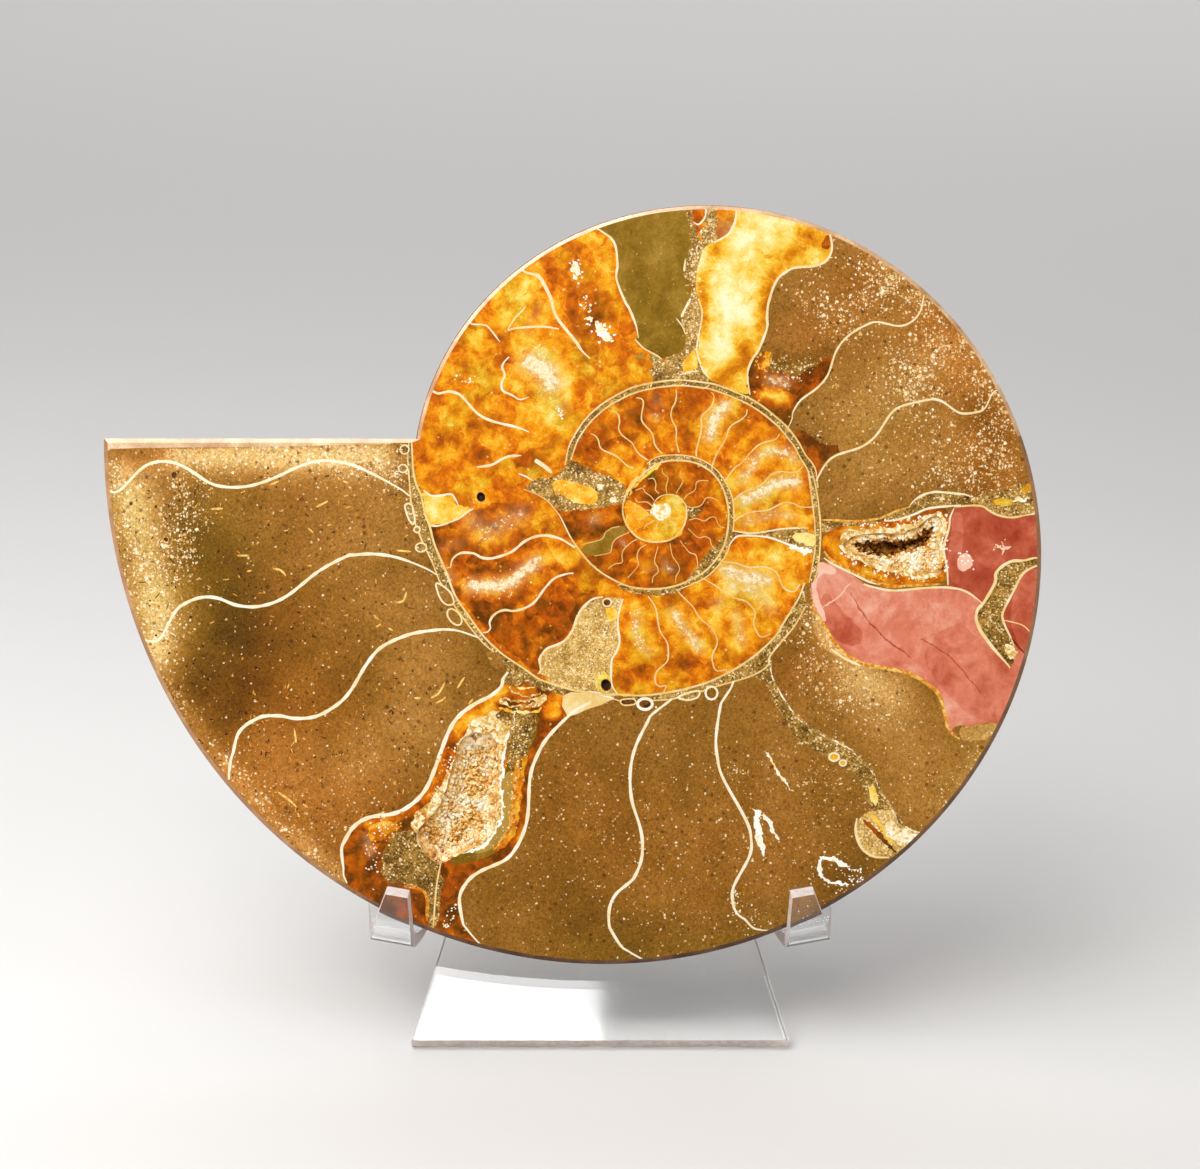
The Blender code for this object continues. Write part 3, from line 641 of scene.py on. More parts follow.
# %% The wedge of druse and the hollow under the coil
paint("amber", 0.16, S["s4"], "-620,-800 80,-80 120,-60 80,20", S["s5"][::-1], "-175,-366 -35,10 -50,24")
draw("""
patch olive_calcite .4 -294,-404 38,-2 14,-18 -8,-32 -16,-28 -8,-36 -8,-50 -2,-50 -10,-36 -26,-28 -40,-20 -50,-12
  -20,16 70,30 40,50 16,160;
patch druse .35 -294,-406 34,-2 14,-18 -10,-34 -16,-34 -14,-36 -20,0 0,60;
patch olive_calcite .95 -314,-520 26,-20 -1,-80 -15,-40 -36,-24 -40,-12 20,26 34,34 10,56;
patch white_crystal .3 -330,-404 -44,-20 -24,-32 -16,-54 -24,-44 -56,-64 -6,-26 20,-40 44,-24 20,14 56,14 38,50 6,88
  8,81 18,47;
patch druse .35 -516,-646 -20,-8 -20,-34 -6,-32 8,-28 40,-4 20,-4 20,-8 8,-20 0,-52 10,-10 14,30 6,105 -34,35 -22,30;
patch amber .5 -586,-638 26,10 30,0 8,-12 -18,-10 -26,-22 -18,12;
patch druse .35 -304,-398 28,-2 12,-24 -24,-22 -26,12 -22,20;
patch white_crystal .2 -318,-378 24,-8 44,4 24,14 -6,-22 -34,-12 -46,8 -18,6;
line amber .85 .6 -326,-398 36,-12 36,4 18,10;
line gold_line .4 1.3 -286,-500 -4,-50 -4,-50 -10,-50 -32,-34;
line amber .5 .9 -272,-490 -8,-50 -4,-60 -12,-50 -34,-40;
line amber .1 .5 -316,-386 36,-6 30,4;
oval amber .3 -27.6 -36.4 5.6 2.2 -.08 16;
line white_crystal .3 .4 -304,-360 14,-12 20,-5 20,3 10,8;
line amber .9 .4 -290,-356 16,-6 20,4;
line white_crystal .8 1.1 -266,-338 12,-4 12,-6;
line white_crystal .8 .5 -289,-413 -20,-48 -8,-81 -4,-81 -37,-56 -68,-19;
line septum .4 .35 -439,-704 -10,-52 -7,-84;
line gold_line .4 .7 -514,-756 26,-4 19,-16 1,-50;
""")
print("layers so far:", len(LAYERS))

# %% The right side: jasper, its druses and the seams
gold_seam = line("""
304,-186 0,-14 8,-14 20,-30 8,-16 12,-16 14,-14 16,-12 18,-8 20,-5 20,-4 40,-7 20,-6 30,-18 16,-12 10,-12 6,-16 8,-32
2,-14 6,-12 12,-10 8,-4
""")
draw("""
patch sediment .8 314,-270 26,-20 60,-26 20,1 -38,13 -30,26 -40,62 -16,14;
""")
paint(
    "jasper", 0.6, "314,-104 26,-6 40,-20 25,-22", S["s10"],
    "656,-200 24,-40 40,-50 100,-10 0,-160 -140,26 -20,8 -20,-4 -10,-8 -26,4 -28,-6", gold_seam[:23][::-1], "296,-170"
)
draw("""
patch jasper .42 330,-160 34,-50 42,-36 -6,-28 -36,-2 -28,30 -22,42;
patch jasper .95 312,-106 22,-6 20,-10 -8,-12 -22,6 -16,-18 8,-34 18,-44 -10,-4 -22,44 -2,54;
patch jasper .5 550,-250 50,24 40,-44 80,-50 40,-20 -60,-100 -80,20 -60,60 -40,60;
line jasper .95 .25 380,-150 -26,-28 -32,-22;
line jasper .2 .3 380,-170 30,-50 50,-50 40,-30;
line jasper .25 .25 520,-260 60,-40 60,-70;
patch jasper .22 574,-159 -2,39 -6,30 0,16 10,34 2,20 8,22 34,3 24,-2 16,-11 20,-8 24,-3 26,5 90,2 0,-298 -90,10
  -50,60 -37,50 -19,15 -14,8 -16,5;
patch jasper .42 714,-126 46,6 60,0 0,-190 -90,10 -20,36 -14,38 8,46;
patch jasper .36 580,-15 20,10 6,-45 -8,-50 0,-55 -22,9 -6,56 12,40;
""")
diagonal_left = line("""
756,-100 -10,0 -20,-5 -22,-1 -18,-8 -16,-16 -2,-20 -22,-38 -12,-14 -4,-16 4,-16 8,-16 24,-32 28,-32 4,-6
""")
diagonal_right = line("760,-116 -10,0 -20,-10 -8,-8 -8,-14 -10,-20 -20,-40 0,-16 6,-16 10,-20 6,-16 2,-24")
paint("druse", 0.4, diagonal_left, diagonal_right[::-1])
draw("""
patch white_crystal .3 685,-275 21,1 14,-14 -14,-16 -16,4;
""")
stroke("septum", 0.5, diagonal_left, 0.6)
stroke("septum", 0.5, diagonal_right[:-1], 0.45)
draw("""
line septum .3 .25 684,-224 26,-6 16,-6 14,-14;
line dark_grain .3 .25 700,-260 16,-18 14,-16;
patch jasper 1 596,-92 20,2 10,-14 -6,-16 -16,-8 -12,12;
line jasper 1 .5 668,-72 14,-10 18,6;
line jasper 1 .35 682,-94 4,14 -6,12;
patch sediment .9 594,-444 16,8 30,4 30,2 10,-10 -20,-20 -40,-6 -20,6;
""")
stroke("gold_line", 0.6, gold_seam, 0.75)
draw("""
line septum .6 .5 340,-282 26,-18 34,-16;
""")
rim_druse = line("620,5 24,-2 16,-11 20,-8 24,-3 42,7 74,2 0,64 -80,-4 -40,-8 -40,-10 -42,-9")
paint("druse", 0.5, rim_druse)
draw("""
patch amber .62 710,30 90,10 0,12 -70,-4;
patch amber .6 666,2 40,2 -2,16 -34,-2;
line white_crystal .8 .5 706,12 10,8 10,-6 4,10;
patch druse .8 616,8 34,2 -2,16 -30,-4;
""")
band_low = line("600,6 -52,-5 -20,-4 -20,-9 -20,-7 -18,-5 -24,-2 -26,-8 -64,-4 -26,-16 -12,10")
band_top = line("318,-24 22,0 30,-2 30,0 30,4 20,6 20,10 26,8 4,6 10,10 14,8 16,5 16,1 52,-5 10,-4 -4,-14")
paint("druse", 0.45, band_top, band_low)
stroke("gold_line", 0.6, band_top[:9], 0.45)
stroke("septum", 0.7, band_top[8:-1], 0.45)
draw("""
oval dark_grain .3 61.3 2 .7 .7;
""")
pocket = line("""
320,-54 10,0 26,16 24,2 108,17 40,16 42,6 8,-23 -2,-20 -10,-34 0,-16 6,-30 2,-28 -54,-6 -40,-2 -40,4 -40,16 -34,16
-26,16 -14,18
""")
paint("amber", 0.3, pocket)
draw("""
patch white_crystal .35 360,-42 60,2 60,4 35,10 21,14 26,4 8,-32 -8,-30 6,-56 -28,-16 -45,4 -49,10 -42,16 -34,16
  -16,22;
line gold_line .5 .7 326,-86 14,-18 26,-16 34,-16 40,-16 40,-4;
line septum .7 .4 326,-100 14,-10 20,-10 40,-20 20,-9 20,-5;
line septum .7 .45 446,-26 24,2 18,5 20,7 20,9 20,4 52,5;
line gold_line .5 .5 430,-152 30,-6 40,3 60,3;
line septum .6 .4 574,-154 -2,34 -6,30 0,16 10,34 2,20 8,20;
line septum .4 .4 586,2 34,3 24,-2 16,-11 20,-8 24,-3 26,5 20,2;
patch amber .4 318,518 22,-2 2,30 -18,0;
patch amber .85 298,486 17,0 3,14 -18,0;
""")
print("layers so far:", len(LAYERS))

# %% Druse beside septum eight, the patch at the rim and the feet of the walls
paint(
    "amber", 0.17, S["s14"][-15:], "200,208 26,-18", S["s13"][:-30:-1],
    "334,304 -10,-6 -14,-13 -24,-15 -18,-12 -24,15 -20,-1 -16,10 8,22 -14,10"
)
draw("""
patch amber .5 204,310 15,2 4,-16 -8,-13 -11,-11 -2,16 8,10;
""")
paint("amber", 0.2, "266,156 13,0 18,-9 10,-10 16,-11 33,-6", S["s12"][10::-1], "300,80 -10,30")
draw("""
patch druse .4 218,-300 1,-20 5,-22 24,-44 12,-18 34,-32 26,-16 40,-20 36,-26 28,-32 16,-38 26,-42 -26,-14 -26,34
  -14,40 -26,32 -84,42 -30,26 -40,70 -14,40;
patch amber .9 414,-560 12,2 12,-28 -6,-12 -10,14;
round septum .6 .4 amber .5 34.6 -49.8 2 1.6;
round septum .6 .3 amber .6 36.4 -51 1.4 1.2;
patch druse .8 392,-620 -3,-20 3,-20 8,-18 12,-12 18,-8 26,-1 44,9 20,40 -20,6 -20,16 -14,18 -26,4 -30,-4;
line septum .6 .5 392,-620 -3,-20 3,-20 8,-18 12,-12 18,-8 26,-1;
line amber .05 .9 404,-624 26,-26 20,-20 20,-18;
line amber .7 .9 414,-612 22,-22 14,-16 14,-18;
patch white_crystal .5 444,-634 16,12 10,-8 8,-12 16,2 10,-16 -2,-14 -16,-16 -26,30 -10,-2;
line white_crystal .9 .6 500,-652 16,-6;
""")

# %% The coil's wall and every septum
paint("druse", 0.45, WALL_LEFT_OUT, "-354,-284 10,-20 10,-14", "-318,-292", WALL_LEFT_IN[::-1])
draw("""
patch sediment .75 -354,-284 10,-20 10,-14 12,-4 12,10 -4,12 -12,6;
patch druse .4 -320,-294 24,-10 20,-16 32,-22 34,-12 35,-10 -5,-16 -30,8 -36,12 -26,14 -38,-14 -4,20 4,14;
patch septum .45 -95,-382 -55,12 -30,2 -16,-8 -2,-20 12,-22 18,6 22,10 26,8;
""")
paint("druse", 0.45, WALL_LOW_IN[9:], WALL_LOW_OUT[::-1])
draw("""
patch druse .4 170,-310 50,0 0,-30 -30,-4 -20,8;
""")
paint("druse", 0.4, WALL_TOP_OUT, WALL_TOP_IN[::-1])
paint("druse", 0.4, WALL_RIGHT, "292,80 7,-40 9,-80 -5,-76 -7,-34")
paint("druse", 0.45, LOOP_OUT, SECOND_LOOP[24:42][::-1])
draw("""
patch druse .4 -90,-148 30,-12 40,-3 40,3 30,10 -10,-16 -40,-9 -40,2 -40,11;
""")
for chain, width in (
    (WALL_LEFT_OUT, 0.32), (WALL_LEFT_IN, 0.42), (WALL_LOW_IN, 0.42), (WALL_LOW_OUT, 0.32), (WALL_TOP_OUT, 0.34),
    (WALL_TOP_IN, 0.32), (LOOP_OUT, 0.24),
):
    stroke("septum", 0.4, chain, width, (0.7, 0.7))
stroke("septum", 0.3, WALL_RIGHT, 0.35)
draw("""
line septum .3 .3 296,-150 7,34 5,36 0,40 -4,40 -10,74;
patch druse .45 136,-45 7,0 27,-5 20,0 20,3 40,6 54,1 2,-46 -10,-3 -16,5 -20,9 -40,15 -20,3 -30,2 -20,-3 -14,-17;
line septum .6 .35 143,-45 27,-5 20,0 20,3 40,6 45,1;
line septum .7 .4 136,-75 14,17 20,3 30,-2 20,-3 40,-15 20,-9 16,-5;
line white_crystal .9 .9 260,-75 20,-9 24,-4;
patch amber .95 260,-50 45,4 1,-34 -26,6 -16,10;
""")
stroke("septum", 0.35, SECOND_LOOP, 0.36, (0.4, 0.5), 0.5)
for points in RING_SEPTA:
    stroke("septum", 0.35, points, 0.3, (0.6, 1.0), 0.45)
for points in INNER_SEPTA:
    stroke("septum", 0.2, points, 0.2, (0.7, 1.0), 0.4)
for name, points in SEPTA.items():
    stroke("septum", 0.75 if int(name[1:].split("_")[0]) < 9 else 0.6, points, SEPTUM_WIDTHS[name], (0.7, 0.35))
stroke("druse", 0.5, S["s8"][::3], 0.5)
print("layers so far:", len(LAYERS))

# %% Rings, marks and flecks
draw("""
patch bevel .84 -1140,160 600,0 0,-32 -80,-1 -140,-4 -280,-3 -60,-2 -30,-18;
round septum .6 .3 druse .5 -51.3 11.7 1.8 1.8;
round septum .6 .3 druse .5 -51.6 7.9 1.8 1.6;
round septum .6 .3 druse .5 -48.8 -4.3 1.2 1.2;
round septum .6 .3 druse .5 -48 -7.9 2.2 1.8;
ring septum .6 .35 druse .5 -512,6 14,-1 6,-34 -5,-4 -9,14;
ring septum .6 .35 sediment .6 -449,-150 3,-20 8,-16 12,-8 12,5 -10,23;
round septum .6 .35 sediment .6 -41.3 -21.8 3.8 2.2 -.9;
round septum .8 .6 dark_grain .8 -3.2 -39.2 3 2.2;
ring septum .7 .4 druse .5 34,-379 20,9 22,4 -2,-12 -20,-6;
round septum .8 .45 sediment .4 10.1 -37 2.4 2.6;
ring septum .5 .3 dark_grain .7 -80,-384 26,2 2,-10 -24,-2;
line white_crystal 1 1.2 1 .3 196,-604 -4,-22 4,-24 7,-44;
line white_crystal 1 .8 204,-614 12,-14 10,-18 5,-16;
line white_crystal 1 .7 376,-722 -16,12 -18,8 -14,4 -10,-4 -4,-12 3,-12 9,-12 14,-9 16,-3 22,0;
line white_crystal .7 .35 205,-485 11,-11 12,-20 8,-18 14,-20 14,-16;
patch white_crystal .8 -136,374 12,4 10,-18 12,-10 4,-16 -12,-4 -12,16 -12,10;
patch white_crystal .75 -182,498 14,-4 10,-14 -4,-20 -10,8 -6,10;
""")
CRUMBLES = """
gold_line .5 .9 26 .8 200,300 10,-14 -20,-76;
white_crystal .5 .7 46 .5 220,276 30,-2 20,-8 16,20 12,4;
druse .4 .8 50 .8 216,296 24,-10 30,-10 30,22;
dark_grain .7 .4 40 .6 270,156 30,-12 24,-16 36,-8;
white_crystal .75 .55 26 .8 -180,494 12,-14 4,-24;
white_crystal .75 .5 12 .7 -154,420 10,-20;
white_crystal .8 .7 46 .95 -140,376 12,-16 16,-12 6,-12;
white_crystal .6 .4 12 .6 -370,254 -40,4;
white_crystal .7 .5 16 .6 -206,204 8,-20 -16,-18;
white_crystal .5 1.6 26 .5 -240,280 -10,50 30,-70;
white_crystal .55 1.3 34 .5 -380,-150 70,-10 40,40;
white_crystal .5 1.2 18 .45 -360,-60 60,30;
white_crystal .5 .6 34 .5 120,196 -18,-22 -3,-30;
white_crystal .5 .6 20 .4 170,90 30,20 50,-4;
white_crystal .5 .6 22 .4 170,18 50,32 50,0;
white_crystal .5 .8 28 .45 140,-130 40,-20 30,4;
white_crystal .5 .5 20 .45 30,-216 20,-34 24,-26;
white_crystal .55 .5 22 .5 -48,-210 -2,-38 14,-32;
white_crystal .75 .8 22 .55 -420,-800 -10,-34;
white_crystal .7 1.1 30 .5 -590,-660 20,-30 -10,-50;
white_crystal .5 .9 70 .45 -284,-440 8,-50 -18,-70 -6,-60 -40,-60;
white_crystal .7 .8 22 .6 -560,-634 24,-10;
gold_line .6 .9 26 .7 -570,-640 50,14;
white_crystal .8 .8 70 .7 -346,-430 -34,-30 -30,-40 -20,-50 -60,-110;
gold_line .45 .6 40 .7 -426,-480 -20,-70 -30,-70;
gold_line .5 .7 40 .6 -310,-470 10,-70 -6,-80;
druse .9 .9 26 .7 -336,-426 36,-4;
white_crystal .5 1.8 80 .45 -134,-220 14,-50 -10,-50 -24,-30;
gold_line .55 2 80 .5 -140,-240 16,-60 -46,-46;
dark_grain .8 1.9 60 .4 -136,-240 10,-60 -34,-40;
gold_line .7 .3 26 .45 -354,34 -18,-6 -2,-16 16,-3 10,9;
white_crystal .6 .5 50 .8 364,-88 36,-26 50,-16 60,-10 46,4;
gold_line .4 .3 36 .6 370,-108 50,-24 60,-14 70,0;
white_crystal .7 .5 46 .8 400,-38 70,6 46,10 30,14 24,-22;
white_crystal .7 .35 24 .7 566,-50 4,-40 0,-40;
white_crystal .9 .8 16 .55 614,-106 -8,12 16,-22;
white_crystal .7 .5 9 .5 666,-78 24,4;
white_crystal .6 .9 14 .7 468,448 42,-16;
white_crystal .6 1 12 .6 390,490 30,-30;
white_crystal .9 .7 26 .6 378,-722 16,-12 -16,-16;
white_crystal .7 1.3 26 .45 330,-764 50,-12 40,36;
white_crystal .9 .35 26 .5 198,-604 -4,-46 10,-44;
white_crystal .5 .6 30 .5 150,-766 0,-48;
white_crystal .5 .7 18 .45 180,-796 10,-28 -20,-16;
white_crystal .4 .9 18 .45 136,-520 30,-10;
white_crystal .35 1.5 26 .4 270,-540 50,10 -50,-40;
white_crystal .35 3.2 40 .4 310,-720 40,-40 -70,100;
gold_line .8 .7 60 .45 59,600 9,-100 -8,-60 2,-80 -16,-60 34,-30;
white_crystal .5 .6 50 .45 86,570 -14,-70 -6,-60 0,-60 -6,-60;
gold_line .7 2 30 .5 -150,34 -50,16 80,-40;
white_crystal .5 1.2 30 .5 -220,30 80,26 50,-26;
"""
for seed, (finish, fill, spread, count, size, path) in enumerate(rows(CRUMBLES), start=100):
    crumbs(finish, fill, path, spread, int(count), size, seed)
for (points,) in rows("""
-782,46 18,8; -840,30 8,4; -904,36 8,4; -689,2 23,12; -754,-46 8,2; -706,-40 10,-9; -667,-35 8,2; -872,-144 8,2;
-828,-127 10,2; -636,54 10,-4; -633,24 8,2; -528,-85 28,-2; -530,-189 14,3 7,18; -574,-214 10,-10; -570,-238 10,6;
-546,-240 10,-5; -494,-380 14,0; -460,-380 14,8 8,12 5,11; -450,-390 14,7 5,5; -407,-360 14,22; -385,-392 9,10;
-733,-444 3,-26; -739,-482 2,-8; -743,-498 2,-7; -766,-568 22,-16 15,-14; -727,-610 4,-8; -716,-592 10,-7; -776,-121
16,-4 10,-11; -848,-95 24,0; -900,-2 24,1;
"""):
    stroke("gold_line", 0.9, points, 0.42)
chance = random.Random(11)
for u, v, size, _ in rows("""
-97.4 6.6 1.4; -106 .9 .8; -101 .3 .7; -98.5 .4 .7; -99 -6.3 1; -93.2 -30.3 .8; -90.6 -34.3 .9; -88.3 -33.6 .7;
-83.5 -35.8 .8; -83 -41 .8; -94 -21.8 .8; -89 -27 .7; -78.9 -23.4 .8; -76 -16.2 .7; -81 -31.9 .8;
"""):
    paint("dark_grain", 0.4, oval(u, v, size, size * chance.uniform(0.6, 1.0), chance.uniform(0, 3), 6))


def scatter_flecks(finish, fill, count, box, longest, thin, seed):
    """Small slivers and grains strewn over a box (u0, v0, u1, v1) of the sediment, the same each run."""
    luck = random.Random(seed)
    for _ in range(count):
        u, v = luck.uniform(box[0], box[2]), luck.uniform(box[1], box[3])
        shade = fill + luck.uniform(-0.2, 0.1)
        paint(finish, shade, oval(u, v, luck.uniform(0.35, longest), luck.uniform(*thin), luck.uniform(0, pi), 6))


STREWN = len(LAYERS)
scatter_flecks("gold_line", 0.6, 110, (-104, -56, -50, 4), 1.4, (0.15, 0.3), 5)
scatter_flecks("dark_grain", 0.3, 110, (-104, -50, -48, 8), 0.8, (0.3, 0.5), 6)
scatter_flecks("dark_grain", 1.0, 190, (-106, -52, -48, 8), 2.0, (0.15, 0.35), 12)
scatter_flecks("gold_line", 0.5, 90, (-84, -78, -42, -36), 1.4, (0.15, 0.35), 7)
scatter_flecks("dark_grain", 0.8, 90, (-84, -78, -42, -36), 1.0, (0.2, 0.4), 8)
scatter_flecks("white_crystal", 0.25, 260, (-35, -92, 60, -44), 0.42, (0.12, 0.26), 9)
scatter_flecks("gold_line", 0.8, 300, (32, 6, 74, 50), 0.45, (0.2, 0.4), 10)
scatter_flecks("gold_line", 0.7, 130, (30, -60, 74, -22), 0.5, (0.2, 0.4), 13)
print("layers:", len(LAYERS), "of which strewn:", len(LAYERS) - STREWN)

# %% [markdown]
# ## One flat mesh from all the layers
#
# Blender can triangulate a flat set of points and edges so that every edge is kept (a constrained
# Delaunay triangulation). All the layers' outlines go in together with a light grid of points between them.
# Each triangle then looks up which layer is topmost at its middle. The alternative, cutting one solid
# with another a thousand times, would be slow and would leave slivers.

# %% The face's own edge
BEVEL_WIDTH = 0.85
EDGE_STEP = 0.8
spiral_edge = outline(EDGE_STEP)


def inset_edge():
    """The polished plane's own edge, a bevel's width inside the stone's outline."""
    inner = [(u * (1 - BEVEL_WIDTH / hypot(u, v)), v * (1 - BEVEL_WIDTH / hypot(u, v))) for u, v in spiral_edge]
    inner[0] = (inner[0][0], MOUTH_LEVEL - BEVEL_WIDTH)
    return inner


MOUTH_STEPS = 60
notch = spiral_edge[-1]
mouth_u = np.linspace(notch[0], spiral_edge[0][0], MOUTH_STEPS + 1)[1:-1]
outer_edge = spiral_edge + [(u, MOUTH_LEVEL) for u in mouth_u]
plane_edge = inset_edge() + [(u, MOUTH_LEVEL - BEVEL_WIDTH) for u in mouth_u]
print("edge points:", len(outer_edge), "notch at", [round(x, 1) for x in notch])

# %% Hollows and pits
UPPER_HOLLOW = line("""
364,-74 21,18 45,6 50,3 35,11 21,17 20,4 6,-21 -6,-26 3,-28 5,-34 -29,-8 -40,2 -45,11 -40,16 -28,13
""")
LOWER_HOLLOW = line("""
-365,-446 33,-14 10,-40 -2,-60 -4,-50 -8,-44 -34,-22 -40,-22 -33,-14 -27,16 -22,36 18,32 24,26 16,32 8,30 12,36 10,32
18,19
""")
PITS = ((-36.0, 2.2, 0.9), (-11.0, -35.4, 1.1))
PIT_CORNERS = 14


def rough_outline(points, seed, unevenness=0.35):
    """A hollow's edge, smoothed and then nibbled by small crystals."""
    luck = np.random.default_rng(seed)
    chain = smooth(points, 0.7, closed=True)
    middle = chain.mean(axis=0)
    away = chain - middle
    away /= np.linalg.norm(away, axis=1)[:, None]
    return chain - away * luck.uniform(0, unevenness, len(chain))[:, None]


hollow_edges = {"upper": rough_outline(UPPER_HOLLOW, 3), "lower": rough_outline(LOWER_HOLLOW, 4)}
pit_edges = [np.array(oval(u, v, 2 * radius * 0.95, 2 * radius * 1.1, 0.4, PIT_CORNERS)) for u, v, radius in PITS]
holes = [*hollow_edges.values(), *pit_edges]
print("holes:", [len(hole) for hole in holes])


# %% Triangulate
def inside(points, polygon):
    """Which of the points lie inside the closed polygon, by counting how often it winds round each."""
    polygon = np.asarray(polygon, float)
    found = np.zeros(len(points), bool)
    low, high = polygon.min(axis=0), polygon.max(axis=0)
    near = np.nonzero(((points >= low) & (points <= high)).all(axis=1))[0]
    for part in np.array_split(near, max(1, len(near) // 4000)):
        x, y = points[part, 0][:, None], points[part, 1][:, None]
        start, end = polygon, np.roll(polygon, -1, axis=0)
        side = (end[:, 0] - start[:, 0]) * (y - start[:, 1]) - (x - start[:, 0]) * (end[:, 1] - start[:, 1])
        up = (start[:, 1] <= y) & (end[:, 1] > y) & (side > 0)
        down = (start[:, 1] > y) & (end[:, 1] <= y) & (side < 0)
        found[part] = up.sum(axis=1) - down.sum(axis=1) != 0
    return found


GRID = 1.25
all_points, all_edges = [], []
point_count = 0
for chain in [plane_edge, *holes, *[points for _, _, points in LAYERS]]:
    count = len(chain)
    all_points.append(np.asarray(chain, float))
    all_edges += [(point_count + i, point_count + (i + 1) % count) for i in range(count)]
    point_count += count
luck = np.random.default_rng(1)
grid_rows = []
for i, v in enumerate(np.arange(-96, 64, GRID * 0.87)):
    u = np.arange(-114, 80, GRID) + (i % 2) * GRID / 2
    grid_rows.append(np.column_stack([u, np.full(len(u), v)]))
grid = np.vstack(grid_rows)
grid += luck.uniform(-0.15, 0.15, grid.shape)
grid = grid[inside(grid, plane_edge)]
flat = np.vstack([*all_points, grid])
made = delaunay_2d_cdt([Vector(point) for point in flat], all_edges, [], 0, 1e-4, False)
face_points = np.array([tuple(point) for point in made[0]])
triangles = np.array([face for face in made[2] if len(face) == 3])
centres = face_points[triangles].mean(axis=1)
keep = inside(centres, plane_edge)
for hole in holes:
    keep &= ~inside(centres, hole)
corners = face_points[triangles]
areas = np.cross(corners[:, 1] - corners[:, 0], corners[:, 2] - corners[:, 0])
triangles = np.where((areas < 0)[:, None], triangles[:, ::-1], triangles)[keep & (np.abs(areas) > 1e-7)]
used, triangles = np.unique(triangles, return_inverse=True)
face_points, triangles = face_points[used], triangles.reshape(-1, 3)
centres = face_points[triangles].mean(axis=1)
print("points:", len(face_points), "triangles:", len(triangles))

# %% Give every triangle its topmost layer
tri_finish = np.zeros(len(triangles), int)
tri_fill = np.full(len(triangles), 0.5)
for number, (finish, fill, points) in enumerate(LAYERS):
    hit = inside(centres, points)
    if number >= STREWN:
        hit &= tri_finish == FINISHES.index("sediment")
    tri_finish[hit] = finish
    tri_fill[hit] = fill
print("triangles of each finish:", {name: int((tri_finish == i).sum()) for i, name in enumerate(FINISHES)})
